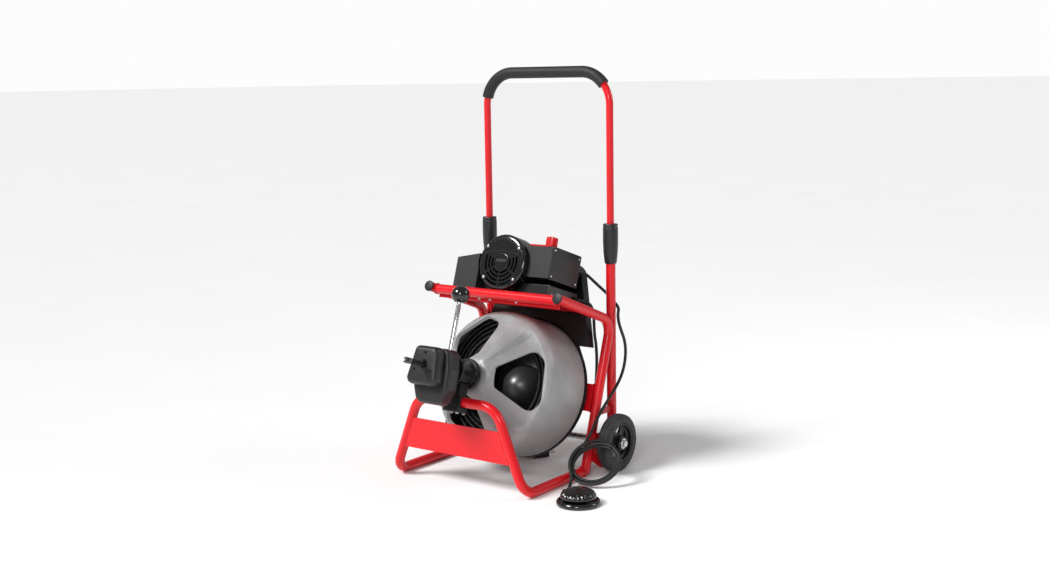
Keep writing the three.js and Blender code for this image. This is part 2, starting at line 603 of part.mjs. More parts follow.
// Air hose and foot pedal ------------------------------------------------------------------------
const PEDAL = [331, -64];
const HOSE_COIL_CENTRE = [271, 100, 52];
const COIL_LONG = new THREE.Vector3(0.717, 0.601, 0.353);
const COIL_RISE = new THREE.Vector3(-0.663, 0.432, 0.612);
const COIL_BUNDLE_R = 8.4;

// A point on the middle of the coil's turns; it is a little longer than it is wide.
function onCoil(degrees) {
  const angle = THREE.MathUtils.degToRad(degrees);
  return vector(HOSE_COIL_CENTRE)
    .addScaledVector(COIL_LONG, 61 * Math.cos(angle)).addScaledVector(COIL_RISE, 55 * Math.sin(angle));
}

const HOSE_DOWN = [
  [125, 245, 517.8], [125, 262, 512.1], [128, 281, 503], [135, 300, 486], [150, 308, 470], [168, 310, 456],
  [185, 309, 443], [202, 305, 430], [217, 297, 418], [224, 284, 402], [227, 284, 382], [228.5, 294, 358],
  [229, 306, 334], [229, 312, 306], [229, 308, 274], [229, 294, 245], [229, 272, 221], [229, 246, 201],
  [229, 222, 184], [229, 199, 168], [229, 178, 151], [229, 160, 132], [229, 144, 112], [229.5, 129, 96],
];
const HOSE_TO_PEDAL = [
  [240, 46, 12.3], [243, 31, 8.5], [248.5, 14.5, 6.5], [257.5, -2.5, 8.5], [267.5, -18.6, 12.5], [274.9, -32.5, 14],
];

function hoseAndPedal() {
  add(machine, 'air_hose', tube(soft(HOSE_DOWN, 20), HOSE_R, 8), RUBBER);
  add(machine, 'pedal_hose', tube(soft(HOSE_TO_PEDAL, 20), HOSE_R, 8), RUBBER);
  const turns = Array.from({ length: 25 }, (_, i) => onCoil(160 - (355 * i) / 24));
  add(machine, 'hose_coil', tube(turns, COIL_BUNDLE_R, 8), RUBBER);

  const base = turned([[0, 0], [54.5, 0], [54.5, 10], [50, 13], [0, 13]], 24).rotateX(Math.PI / 2);
  base.translate(...PEDAL, 0);
  const inlet = block([-11, -10, 4], [11, 12, 24]).rotateZ(THREE.MathUtils.degToRad(27)).translate(281, -44, 0);
  const domeRoom = rod([...PEDAL, 9], [...PEDAL, 30], 46, 24);
  add(machine, 'pedal_base', cut(join(base, inlet), domeRoom), GLOSS);
  const dome = turned([
    [0, 17], [44, 17], [44.5, 22], [41, 30], [30, 37], [0, 41],
  ], 24);
  add(machine, 'pedal_dome', dome.rotateX(Math.PI / 2).translate(...PEDAL, 0), GLOSS);
}

// Power cord -------------------------------------------------------------------------------------
const CORD_DOWN = [
  [167, 226.1, 437.6], [167, 231.8, 435.7], [167.5, 242, 427.5], [168.5, 249, 413.5], [169.5, 251, 398], [170.5, 251, 376],
  [171, 252.5, 350], [172, 257, 322], [172, 260, 285], [172, 258, 245], [172, 253, 205], [171, 250, 165], [170, 250, 125],
  [168, 252, 88], [164, 258, 55], [160, 271, 27], [158, 293, 9], [157, 318, 4.3], [152, 350, 4.3], [139, 385, 4.3],
  [114, 417, 4.3], [76, 440, 4.3], [38, 448, 4.5], [0, 449, 4.9], [-36, 449, 5.2], [-72, 448.9, 5.2],
];
const CORD_TO_PLUG = [
  [-158.7, 383, 14], [-157.9, 364, 13.6], [-156.2, 340, 9.4], [-151.5, 314, 5.2], [-142, 288, 4.3], [-126, 262, 4.3],
  [-106, 241, 4.3], [-90.5, 224, 4.4], [-82.8, 205, 4.9], [-76.5, 186.5, 6], [-63, 175.2, 7.2], [-47.2, 171.6, 8.6],
  [-29.2, 176.4, 10.2], [-17, 188, 11],
];

const ease = (from, to, value) => THREE.MathUtils.smoothstep(value, from, to);

// The stored lead: two turns on the floor, outer then inner, and two above them, inner then outer.
function cordCoil() {
  const points = [];
  for (let turned = 0; turned <= 1170; turned += 15) {
    const radius = 48.8 - 8.8 * ease(300, 360, turned) + 8.8 * ease(930, 985, turned);
    const angle = THREE.MathUtils.degToRad(90 + turned);
    const height = 5.2 + 8.8 * ease(620, 690, turned);
    points.push([-110 + radius * Math.cos(angle), 400 + radius * Math.sin(angle), height]);
  }
  return points;
}

function powerCord() {
  const route = [...CORD_DOWN, ...cordCoil(), ...CORD_TO_PLUG];
  add(machine, 'power_cord', tube(soft(route, 12), CORD_R, 8), RUBBER);
  const relief = rod([0, 1.8, 11], [0, 30, 11], 5, 10, 8.5);
  const body = slabAlongY(outline([[-14, 0, 5], [14, 0, 5], [14, 22, 5], [-14, 22, 5]]), 26, 66);
  const blades = SIDES.map(([, sign]) => block([sign * 7 - 0.9, 60, 7.5], [sign * 7 + 0.9, 86, 14.5]));
  const plug = join(relief, body, ...blades).rotateZ(THREE.MathUtils.degToRad(-33)).translate(-17, 188, 0);
  add(machine, 'power_plug', plug, BLACK);
}

frame();
frontPanel();
crossMembers();
handle();
wheels();
drum();
cable();
guideStand();
feedHousing();
feedRollers();
feedLever();
beltDrive();
motor();
boxes();
hoseAndPedal();
powerCord();

export default machine;
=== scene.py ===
"""Drum-type drain cleaning machine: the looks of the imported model.

Shapes are written in millimetres, in the row frame (+X right, +Y back, +Z up, floor at 0) or, for the drum,
the motor and the feed, in a frame that leans back by TILT: x, v back along the drum's axis, w square to it.
"""
import math

import bmesh
import bpy
from mathutils import Matrix, Vector


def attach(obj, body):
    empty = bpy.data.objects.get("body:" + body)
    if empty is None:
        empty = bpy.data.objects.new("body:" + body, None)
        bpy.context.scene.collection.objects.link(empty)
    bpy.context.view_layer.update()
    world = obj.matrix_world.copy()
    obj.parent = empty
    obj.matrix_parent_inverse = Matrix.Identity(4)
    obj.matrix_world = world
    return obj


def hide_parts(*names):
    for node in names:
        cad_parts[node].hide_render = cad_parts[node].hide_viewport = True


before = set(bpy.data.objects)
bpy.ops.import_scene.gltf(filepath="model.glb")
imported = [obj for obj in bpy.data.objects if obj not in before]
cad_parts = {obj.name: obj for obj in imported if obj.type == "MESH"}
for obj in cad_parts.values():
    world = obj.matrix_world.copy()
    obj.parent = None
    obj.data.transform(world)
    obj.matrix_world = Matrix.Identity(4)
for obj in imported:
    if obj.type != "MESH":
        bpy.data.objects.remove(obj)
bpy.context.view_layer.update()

TILT = math.radians(18.5)
LEVEL = Matrix.Identity(4)
LEAN = Matrix.Translation((0, 177, 201)) @ Matrix.Rotation(-TILT, 4, "X")
TO_METRES = Matrix.Scale(0.001, 4)
SIDES = (("left", -1), ("right", 1))


def polar(radius, degrees, v=0.0):
    """A point of the leaning frame at a radius and a direction round the axis, from +X towards up."""
    angle = math.radians(degrees)
    return Vector((radius * math.cos(angle), v, radius * math.sin(angle)))


# Camera -------------------------------------------------------------------------------------------
def add_camera():
    roll = math.radians(-0.93)
    ahead = Vector((-0.5907, 0.7930, -0.1488)).normalized()
    right = ahead.cross(Vector((0, 0, 1))).normalized()
    up = right.cross(ahead)
    across = math.cos(roll) * right + math.sin(roll) * up
    upward = math.cos(roll) * up - math.sin(roll) * right
    data = bpy.data.cameras.new("photo_camera")
    data.sensor_width = 36
    data.lens = 36 * 1375 / 1049
    camera = bpy.data.objects.new("photo_camera", data)
    turn = Matrix((across, upward, -ahead)).transposed().to_4x4()
    camera.matrix_world = Matrix.Translation((2.1524, -2.7132, 1.0243)) @ turn
    bpy.context.collection.objects.link(camera)
    bpy.context.scene.camera = camera


add_camera()


# Materials ----------------------------------------------------------------------------------------
class Surface:
    """A node material: mottled colour, uneven roughness and a fine bump, all in object coordinates."""

    def __init__(self, name, colour, roughness, metallic=0.0, coat=0.0, gloss=0.5):
        self.material = bpy.data.materials.new(name)
        self.material.use_nodes = True
        self.nodes = self.material.node_tree.nodes
        self.shader = self.nodes["Principled BSDF"]
        self.shader.inputs["Metallic"].default_value = metallic
        self.shader.inputs["Coat Weight"].default_value = coat
        self.shader.inputs["Specular IOR Level"].default_value = gloss
        self.shader.inputs["Coat Roughness"].default_value = 0.12
        self.place = self.node("ShaderNodeTexCoord").outputs["Object"]
        self.colour, self.roughness = colour, roughness
        self.height = None

    def node(self, kind, **settings):
        node = self.nodes.new(kind)
        for key, value in settings.items():
            if key in node.inputs:
                node.inputs[key].default_value = value
            else:
                setattr(node, key, value)
        return node

    def link(self, output, target):
        self.material.node_tree.links.new(output, target)

    def noise(self, scale, detail=3.0, stretch=(1, 1, 1)):
        mapping = self.node("ShaderNodeMapping", Scale=stretch)
        self.link(self.place, mapping.inputs["Vector"])
        texture = self.node("ShaderNodeTexNoise", Scale=scale, Detail=detail)
        self.link(mapping.outputs["Vector"], texture.inputs["Vector"])
        return texture.outputs["Fac"]

    def maths(self, operation, first, second):
        node = self.node("ShaderNodeMath", operation=operation)
        for value, socket in zip((first, second), node.inputs):
            if isinstance(value, (int, float)):
                socket.default_value = value
            else:
                self.link(value, socket)
        return node.outputs["Value"]

    def mottle(self, scale, amount, stretch=(1, 1, 1)):
        """Colour that drifts between a darker and a lighter tone."""
        ramp = self.node("ShaderNodeValToRGB")
        for element, tone in zip(ramp.color_ramp.elements, (1 - amount, 1 + amount)):
            element.color = (*(min(1.0, c * tone) for c in self.colour), 1)
        ramp.color_ramp.elements[0].position, ramp.color_ramp.elements[1].position = 0.3, 0.7
        self.link(self.noise(scale, 4.0, stretch), ramp.inputs["Fac"])
        self.link(ramp.outputs["Color"], self.shader.inputs["Base Color"])
        return self

    def polish(self, scale, spread, stretch=(1, 1, 1)):
        """Roughness that varies by spread either way."""
        span = self.node("ShaderNodeMapRange")
        span.inputs["To Min"].default_value = max(0.02, self.roughness - spread)
        span.inputs["To Max"].default_value = min(1.0, self.roughness + spread)
        self.link(self.noise(scale, 5.0, stretch), span.inputs["Value"])
        self.link(span.outputs["Result"], self.shader.inputs["Roughness"])
        return self

    def relief(self, height, depth, strength=1.0):
        """Bump from a height between 0 and 1, depth millimetres deep."""
        bump = self.node("ShaderNodeBump", Strength=strength, Distance=depth / 1000)
        self.link(height, bump.inputs["Height"])
        if self.height is not None:
            self.link(self.height, bump.inputs["Normal"])
        self.height = bump.outputs["Normal"]
        self.link(self.height, self.shader.inputs["Normal"])
        return self

    def grain(self, scale, depth, strength=0.5, stretch=(1, 1, 1)):
        return self.relief(self.noise(scale, 2.0, stretch), depth, strength)

    def winding(self, pitch, depth, shade=0.35):
        """The ridges of a wound wire along the piece's own length, with painted shade darkening the grooves between
        them.
        """
        along = self.node("ShaderNodeAttribute", attribute_name="along").outputs["Fac"]
        wave = self.maths("SINE", self.maths("MULTIPLY", along, 2 * math.pi / pitch), 0)
        ridge = self.maths("MULTIPLY_ADD", wave, 0.5)
        ridge.node.inputs[2].default_value = 0.5
        # Painted shade: the colour falls to colour times shade in the grooves between the ridges.
        mix = self.node("ShaderNodeMix", data_type="RGBA")
        mix.inputs["A"].default_value = (*(c * shade for c in self.colour), 1)
        mix.inputs["B"].default_value = (*self.colour, 1)
        self.link(ridge, mix.inputs["Factor"])
        self.link(mix.outputs["Result"], self.shader.inputs["Base Color"])
        return self.relief(ridge, depth, 0.8)


def paint(name, colour, roughness, coat):
    surface = Surface(name, colour, roughness, coat=coat, gloss=0.3)
    return surface.mottle(14, 0.05).polish(60, 0.06).grain(700, 0.12, 0.35)


def plastic(name, colour, roughness, grain=0.08, gloss=0.35):
    return Surface(name, colour, roughness, gloss=gloss).mottle(22, 0.12).polish(90, 0.07).grain(1600, grain, 0.5)


MATERIALS = {
    "red_paint": paint("red_paint", (0.66, 0.006, 0.012), 0.30, 0.25),
    "black_paint": paint("black_paint", (0.009, 0.009, 0.010), 0.30, 0.2),
    "red_plastic": plastic("red_plastic", (0.60, 0.006, 0.012), 0.30, 0.03),
    "drum_grey": plastic("drum_grey", (0.30, 0.30, 0.305), 0.36, 0.05, 0.5),
    "black_plastic": plastic("black_plastic", (0.009, 0.009, 0.010), 0.34),
    "charcoal_plastic": plastic("charcoal_plastic", (0.014, 0.014, 0.015), 0.38, 0.12, 0.45),
    "dome_black": plastic("dome_black", (0.03, 0.03, 0.032), 0.36, 0.02, 1.0),
    "gloss_black": Surface("gloss_black", (0.004, 0.004, 0.004), 0.12, coat=0.5).mottle(30, 0.2).polish(40, 0.04)
    .grain(45, 0.1, 0.2),
    "rubber": Surface("rubber", (0.012, 0.012, 0.012), 0.46, gloss=0.35).mottle(60, 0.2).polish(150, 0.1)
    .grain(2200, 0.05, 0.5),
    "foam": Surface("foam", (0.014, 0.014, 0.015), 0.55, gloss=0.4).mottle(40, 0.15).polish(200, 0.08)
    .grain(1300, 0.35, 0.7),
    "tyre": Surface("tyre", (0.030, 0.030, 0.031), 0.62, gloss=0.35).mottle(50, 0.25).polish(120, 0.1)
    .grain(1500, 0.15, 0.6),
    "zinc": Surface("zinc", (0.62, 0.63, 0.65), 0.28, 1.0).mottle(120, 0.12).polish(300, 0.1).grain(900, 0.04, 0.4),
    "dark_steel": Surface("dark_steel", (0.13, 0.13, 0.135), 0.36, 1.0).mottle(90, 0.2).polish(300, 0.1)
    .grain(900, 0.06, 0.5),
    "chrome": Surface("chrome", (0.80, 0.81, 0.83), 0.07, 1.0).mottle(20, 0.04).polish(200, 0.04)
    .grain(400, 0.003, 0.1),
    "cable_steel": Surface("cable_steel", (0.055, 0.055, 0.058), 0.34, 0.9).polish(160, 0.12).winding(0.0032, 0.9),
}
MATERIALS["core_shadow"] = plastic("core_shadow", (0.004, 0.004, 0.004), 0.8)


# Mesh builders, all in millimetres ----------------------------------------------------------------
def lathe(profile, segments=72):
    """Turned about the Y axis from (radius, v) pairs. A pair on the axis closes the shape."""
    mesh = bmesh.new()
    rings = []
    for radius, v in profile:
        if radius < 1e-6:
            rings.append([mesh.verts.new((0, v, 0))])
        else:
            rings.append([mesh.verts.new(polar(radius, 360 * i / segments, v)) for i in range(segments)])
    for first, second in zip(rings, rings[1:]):
        for i in range(segments if len(first) + len(second) > 2 else 0):
            j = (i + 1) % segments
            corners = [first[i % len(first)], first[j % len(first)], second[j % len(second)], second[i % len(second)]]
            mesh.faces.new(list(dict.fromkeys(corners)))
    bmesh.ops.remove_doubles(mesh, verts=mesh.verts, dist=1e-4)
    bmesh.ops.recalc_face_normals(mesh, faces=mesh.faces)
    return mesh


def band(inner, outer, v0, v1, segments=72):
    return lathe([(inner, v0), (outer, v0), (outer, v1), (inner, v1), (inner, v0)], segments)


def box(low, high):
    mesh = bmesh.new()
    middle = (Vector(low) + Vector(high)) / 2
    bmesh.ops.create_cube(mesh, size=1, matrix=Matrix.Translation(middle) @ Matrix.Diagonal(
        (*(Vector(high) - Vector(low)), 1)))
    return mesh


def towards(start, end):
    """Turns the Y axis from start towards end, and moves it there."""
    along = Vector(end) - Vector(start)
    return Matrix.Translation(start) @ along.to_track_quat("Y", "Z").to_matrix().to_4x4(), along.length


def rod(start, end, radius, segments=32, end_radius=None):
    turn, length = towards(start, end)
    end_radius = radius if end_radius is None else end_radius
    mesh = lathe([(0, 0), (radius, 0), (end_radius, length), (0, length)], segments)
    mesh.transform(turn)
    return mesh


def shaped_rod(start, end, profile, segments=32):
    """A lathe profile set along the line from start towards end."""
    mesh = lathe(profile, segments)
    mesh.transform(towards(start, end)[0])
    return mesh


def rounded(corners, steps=6):
    """A closed outline from (a, b, radius) corners."""
    points = []
    for i, (a, b, radius) in enumerate(corners):
        here = Vector((a, b))
        if radius == 0:
            points.append(here)
            continue
        before, after = (Vector(corners[k][:2]) - here for k in (i - 1, (i + 1) % len(corners)))
        before.normalize()
        after.normalize()
        half = before.angle(after) / 2
        centre = here + (before + after).normalized() * radius / math.sin(half)
        first, last = (here + side * radius / math.tan(half) - centre for side in (before, after))
        turn = first.angle_signed(last)
        points += [centre + Matrix.Rotation(-turn * k / steps, 2) @ first for k in range(steps + 1)]
    return points


def prism(outline, v0, v1, axis="Y"):
    """An outline extruded: in x and w along Y, or in v and w along X."""
    def put(a, b, depth):
        return (a, depth, b) if axis == "Y" else (depth, a, b)

    mesh = bmesh.new()
    rings = [[mesh.verts.new(put(a, b, depth)) for a, b in outline] for depth in (v0, v1)]
    for ring in rings:
        mesh.faces.new(ring)
    for i in range(len(outline)):
        j = (i + 1) % len(outline)
        mesh.faces.new((rings[0][i], rings[0][j], rings[1][j], rings[1][i]))
    bmesh.ops.recalc_face_normals(mesh, faces=mesh.faces)
    return mesh


def loft(outline, stations):
    """An outline in x and w drawn out along Y through (v, inset) stations, for rounded fronts."""
    count = len(outline)
    turn = sum(a.x * b.y - b.x * a.y for a, b in zip(outline, outline[1:] + outline[:1]))
    mesh = bmesh.new()
    rings = []
    for v, inset in stations:
        ring = []
        for i, point in enumerate(outline):
            along = outline[(i + 1) % count] - outline[i - 1]
            x, w = point + Vector((-along.y, along.x)).normalized() * math.copysign(inset, turn)
            ring.append(mesh.verts.new((x, v, w)))
        rings.append(ring)
    mesh.faces.new(rings[0])
    mesh.faces.new(rings[-1])
    for first, second in zip(rings, rings[1:]):
        for i in range(count):
            j = (i + 1) % count
            mesh.faces.new((first[i], first[j], second[j], second[i]))
    bmesh.ops.recalc_face_normals(mesh, faces=mesh.faces)
    return mesh


def bent(corners, step_degrees=4):
    """A bent tube's centre line through (x, y, z, bend radius) corners."""
    points = []
    for i, (*place, radius) in enumerate(corners):
        here = Vector(place)
        if radius == 0:
            points.append(here)
            continue
        back = (Vector(corners[i - 1][:3]) - here).normalized()
        ahead = (Vector(corners[i + 1][:3]) - here).normalized()
        turn = math.pi - back.angle(ahead)
        start = here + back * radius * math.tan(turn / 2)
        centre = here + (back + ahead).normalized() * radius / math.cos(turn / 2)
        steps = math.ceil(math.degrees(turn) / step_degrees)
        for k in range(steps + 1):
            angle = turn * k / steps
            points.append(centre + (start - centre) * math.cos(angle) - back * radius * math.sin(angle))
    return points


def soft_line(points, step):
    """The centripetal Catmull-Rom curve through the points, with even steps."""
    points = [Vector(p) for p in points]
    padded = [2 * points[0] - points[1], *points, 2 * points[-1] - points[-2]]
    fine = []
    for p0, p1, p2, p3 in zip(padded, padded[1:], padded[2:], padded[3:]):
        t1 = max((p1 - p0).length ** 0.5, 1e-6)
        t2 = t1 + max((p2 - p1).length ** 0.5, 1e-6)
        t3 = t2 + max((p3 - p2).length ** 0.5, 1e-6)
        for k in range(24):
            t = t1 + (t2 - t1) * k / 24
            a1 = p0 * (t1 - t) / t1 + p1 * t / t1
            a2 = p1 * (t2 - t) / (t2 - t1) + p2 * (t - t1) / (t2 - t1)
            a3 = p2 * (t3 - t) / (t3 - t2) + p3 * (t - t2) / (t3 - t2)
            b1 = a1 * (t2 - t) / t2 + a2 * t / t2
            b2 = a2 * (t3 - t) / (t3 - t1) + a3 * (t - t1) / (t3 - t1)
            fine.append(b1 * (t2 - t) / (t2 - t1) + b2 * (t - t1) / (t2 - t1))
    fine.append(points[-1])
    return even(fine, step)


def even(line, step):
    """The same line with points at an even spacing."""
    lengths = [0.0]
    for a, b in zip(line, line[1:]):
        lengths.append(lengths[-1] + (b - a).length)
    count = max(2, round(lengths[-1] / step))
    result, k = [], 0
    for i in range(count + 1):
        want = lengths[-1] * i / count
        while k < len(line) - 2 and lengths[k + 1] < want:
            k += 1
        share = (want - lengths[k]) / max(lengths[k + 1] - lengths[k], 1e-9)
        result.append(line[k].lerp(line[k + 1], min(max(share, 0), 1)))
    return result


def sweep(line, radius, sides=24, closed=False, bore=0.0):
    """A round tube along a line. Its vertices carry how far along they are, in metres, as 'along'."""
    mesh = bmesh.new()
    layer = mesh.verts.layers.float.new("along")
    count = len(line)
    directions = []
    for i in range(count):
        before = line[i] - line[i - 1] if i > 0 or closed else line[1] - line[0]
        after = line[(i + 1) % count] - line[i] if i < count - 1 or closed else line[-1] - line[-2]
        directions.append((before.normalized() + after.normalized()).normalized())
    across = directions[0].orthogonal().normalized()
    radii = [radius] if bore == 0 else [radius, bore]
    tubes = [[] for _ in radii]
    travelled = 0.0
    for i, (point, direction) in enumerate(zip(line, directions)):
        if i > 0:
            across = directions[i - 1].rotation_difference(direction) @ across
            travelled += (point - line[i - 1]).length
        other = direction.cross(across)
        for size, rings in zip(radii, tubes):
            ring = []
            for k in range(sides):
                angle = 2 * math.pi * k / sides
                vertex = mesh.verts.new(point + size * (math.cos(angle) * across + math.sin(angle) * other))
                vertex[layer] = travelled / 1000
                ring.append(vertex)
            rings.append(ring)
    for rings in tubes:
        pairs = list(zip(rings, rings[1:])) + ([(rings[-1], rings[0])] if closed else [])
        for first, second in pairs:
            for k in range(sides):
                j = (k + 1) % sides
                mesh.faces.new((first[k], first[j], second[j], second[k]))
    if not closed:
        for end in (0, -1):
            if bore == 0:
                mesh.faces.new(tubes[0][end])
            else:
                for k in range(sides):
                    j = (k + 1) % sides
                    mesh.faces.new((tubes[0][end][k], tubes[0][end][j], tubes[1][end][j], tubes[1][end][k]))
    bmesh.ops.recalc_face_normals(mesh, faces=mesh.faces)
    return mesh


def tapered(line, start, end, sides=24):
    """A solid round sweep whose radius runs from start to end."""
    mesh = sweep(line, 1.0, sides)
    mesh.verts.ensure_lookup_table()
    for i, point in enumerate(line):
        size = start + (end - start) * i / (len(line) - 1)
        for vertex in mesh.verts[i * sides:(i + 1) * sides]:
            vertex.co = point + (vertex.co - point) * size
    return mesh


def merge(*meshes):
    """Several bmeshes in one; the first keeps its layers."""
    target = meshes[0]
    for mesh in meshes[1:]:
        data = bpy.data.meshes.new("part")
        mesh.to_mesh(data)
        mesh.free()
        target.from_mesh(data)
        bpy.data.meshes.remove(data)
    return target


def moved(mesh, matrix):
    mesh.transform(matrix)
    return mesh


def carve(solid, *cutters):
    """The solid less each cutter, by boolean modifiers."""
    def wrap(mesh):
        data = bpy.data.meshes.new("carve")
        mesh.to_mesh(data)
        mesh.free()
        made = bpy.data.objects.new("carve", data)
        bpy.context.collection.objects.link(made)
        return made

    body, tools = wrap(solid), [wrap(cutter) for cutter in cutters]
    for tool in tools:
        modifier = body.modifiers.new("carve", "BOOLEAN")
        modifier.operation, modifier.object, modifier.solver = "DIFFERENCE", tool, "EXACT"
    done = body.evaluated_get(bpy.context.evaluated_depsgraph_get()).to_mesh()
    result = bmesh.new()
    result.from_mesh(done)
    for made in [body, *tools]:
        data = made.data
        bpy.data.objects.remove(made)
        bpy.data.meshes.remove(data)
    return result


def add(name, mesh, slot, body="machine", lean=False, stands_for=(), sharp=35, bevel=0.0):
    """Makes a bmesh in millimetres a piece of the object."""
    mesh.transform(TO_METRES @ (LEAN if lean else LEVEL))
    bmesh.ops.recalc_face_normals(mesh, faces=mesh.faces)
    data = bpy.data.meshes.new(name)
    mesh.to_mesh(data)
    mesh.free()
    data.polygons.foreach_set("use_smooth", [True] * len(data.polygons))
    data.set_sharp_from_angle(angle=math.radians(sharp))
    data.materials.append(MATERIALS[slot].material)
    piece = bpy.data.objects.new(name, data)
    bpy.context.collection.objects.link(piece)
    if bevel:
        soften(piece, bevel)
    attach(piece, body)
    if stands_for:
        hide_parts(*stands_for)
    return piece


def soften(piece, width, segments=3):
    """Rounds the sharp edges of a piece with modifiers."""
    modifier = piece.modifiers.new("edges", "BEVEL")
    modifier.width, modifier.segments, modifier.limit_method = width / 1000, segments, "ANGLE"
    modifier.angle_limit = math.radians(35)
    modifier.use_clamp_overlap = True
    modifier.harden_normals = False
    piece.modifiers.new("normals", "WEIGHTED_NORMAL").keep_sharp = True


def hexagon_bolt(name, place, normal, size=6.0, body="machine", lean=False, slot="zinc"):
    """A washer and a chamfered hexagon head that stand on a face."""
    washer = lathe([(0, 0), (size * 1.25, 0), (size * 1.25, size * 0.2), (0, size * 0.2)], 28)
    head = lathe([(0, size * 0.2), (size, size * 0.2), (size, size * 0.75), (size * 0.86, size * 0.9), (0, size * 0.9)], 6)
    turn, _ = towards(place, Vector(place) + Vector(normal))
    return add(name, moved(merge(washer, head), turn), slot, body, lean)


def screw(name, place, normal, radius=3.4, body="machine", lean=False, slot="zinc"):
    """A domed cross-head screw on a face."""
    profile = [(0, -0.4), (radius, -0.4), (radius, 0.4), (radius * 0.82, 1.3), (radius * 0.45, 1.8), (0, 1.95)]
    arm, deep = radius * 0.62, 0.9
    head = lathe(profile, 24)
    cross = [box((-arm, deep, -0.45), (arm, 4, 0.45)), box((-0.45, deep, -arm), (0.45, 4, arm))]
    turn, _ = towards(place, Vector(place) + Vector(normal))
    return add(name, moved(carve(head, *cross), turn), slot, body, lean)


def bead(name, line, radius=1.9, body="machine", lean=False, slot="red_paint"):
    """A weld bead: a thin rippled sweep."""
    mesh = sweep(even(line, 1.6), radius, 8)
    for vertex in mesh.verts:
        ripple = 0.35 * math.sin(vertex[mesh.verts.layers.float["along"]] * 1000 * 1.9)
        vertex.co += vertex.normal * ripple
    return add(name, mesh, slot, body, lean)


def circle(centre, axis, radius, steps=48):
    turn = Vector(axis).to_track_quat("Y", "Z").to_matrix().to_4x4()
    return [Vector(centre) + turn @ polar(radius, 360 * k / steps) for k in range(steps + 1)]


def keep(node, slot, bevel=0.0):
    """A CAD node that stays: it gets its finish and rounded edges."""
    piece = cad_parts[node]
    piece.data.materials.clear()
    piece.data.materials.append(MATERIALS[slot].material)
    if bevel:
        soften(piece, bevel)


# Cords --------------------------------------------------------------------------------------------
HOSE_DOWN = [
    (125, 245, 517.8), (125, 262, 512.1), (128, 281, 503), (135, 300, 486), (150, 308, 470), (168, 310, 456),
    (185, 309, 443), (202, 305, 430), (217, 297, 418), (224, 284, 402), (227, 284, 382), (228.5, 294, 358),
    (229, 306, 334), (229, 312, 306), (229, 308, 274), (229, 294, 245), (229, 272, 221), (229, 246, 201),
    (229, 222, 184), (229, 199, 168), (229, 178, 151), (229, 160, 132),
]
HOSE_TO_PEDAL = [(236, 43.5, 26), (241.5, 33, 14.5), (247, 20, 8), (252, 8.5, 7), (258.5, -3.5, 8.7),
                 (267.5, -18.6, 12.5), (274.9, -32.5, 14)]
CORD_DOWN = [
    (167, 226.1, 437.6), (167, 231.8, 435.7), (167.5, 242, 427.5), (168.5, 249, 413.5), (169.5, 251, 398),
    (170.5, 251, 376), (171, 252.5, 350), (172, 257, 322), (172, 260, 285), (172, 258, 245), (172, 253, 205),
    (171, 250, 165), (170, 250, 125), (168, 252, 88), (164, 258, 55), (160, 271, 27), (158, 293, 9), (157, 318, 4.3),
    (152, 350, 4.3), (139, 385, 4.3), (114, 417, 4.3), (76, 440, 4.3), (38, 448, 4.5), (0, 449, 4.9), (-36, 449, 5.2),
    (-72, 448.9, 5.2),
]
CORD_TO_PLUG = [
    (-158.7, 383, 14), (-157.9, 364, 13.6), (-156.2, 340, 9.4), (-151.5, 314, 5.2), (-142, 288, 4.3),
    (-126, 262, 4.3), (-106, 241, 4.3), (-90.5, 224, 4.4), (-82.8, 205, 4.9), (-76.5, 186.5, 6), (-63, 175.2, 7.2),
    (-47.2, 171.6, 8.6), (-29.2, 176.4, 10.2), (-17, 188, 11),
]
COIL_CENTRE = Vector((271, 100, 52))
COIL_LONG = Vector((0.717, 0.601, 0.353))
COIL_RISE = Vector((-0.663, 0.432, 0.612))
COIL_NORMAL = COIL_LONG.cross(COIL_RISE)


def smooth(value):
    value = min(max(value, 0.0), 1.0)
    return value * value * (3 - 2 * value)


def coil_point(total):
    """A point of the hose's turns, total degrees after it meets the coil. The three turns twist round each other."""
    angle = math.radians(135 + total)
    outward = COIL_LONG * math.cos(angle) + COIL_RISE * math.sin(angle)
    middle = COIL_CENTRE + COIL_LONG * 61 * math.cos(angle) + COIL_RISE * 55 * math.sin(angle)
    leaving = smooth((total - 960) / 85)
    spread = 4.7 + 8.3 * leaving + 8.3 * smooth(-total / 45)
    twist = math.radians((total / 3 if total > 0 else 0) * (1 - leaving) + (360 + 75) * leaving)
    return middle + spread * (outward * math.cos(twist) + COIL_NORMAL * math.sin(twist))


def stored_lead():
    """The put-away part of the mains lead: two turns on the floor, outer then inner, and two on top of them."""
    points = []
    for turned in range(0, 1171, 6):
        radius = 48.8 - 8.8 * smooth((turned - 300) / 60) + 8.8 * smooth((turned - 930) / 55)
        height = 5.2 + 8.8 * smooth((turned - 620) / 70)
        angle = math.radians(90 + turned)
        points.append((-110 + radius * math.cos(angle), 400 + radius * math.sin(angle), height))
    return points


def add_cord(name, line, radius, stands_for, body="machine"):
    piece = add(name, sweep(line, radius, 16), "rubber", body, stands_for=stands_for, sharp=60)
    return piece, [tuple(point / 1000) for point in line]


def hose_line():
    turns = [coil_point(total) for total in range(-40, 1125, 6)]
    return soft_line([*HOSE_DOWN, *turns, *HOSE_TO_PEDAL], 3.0)


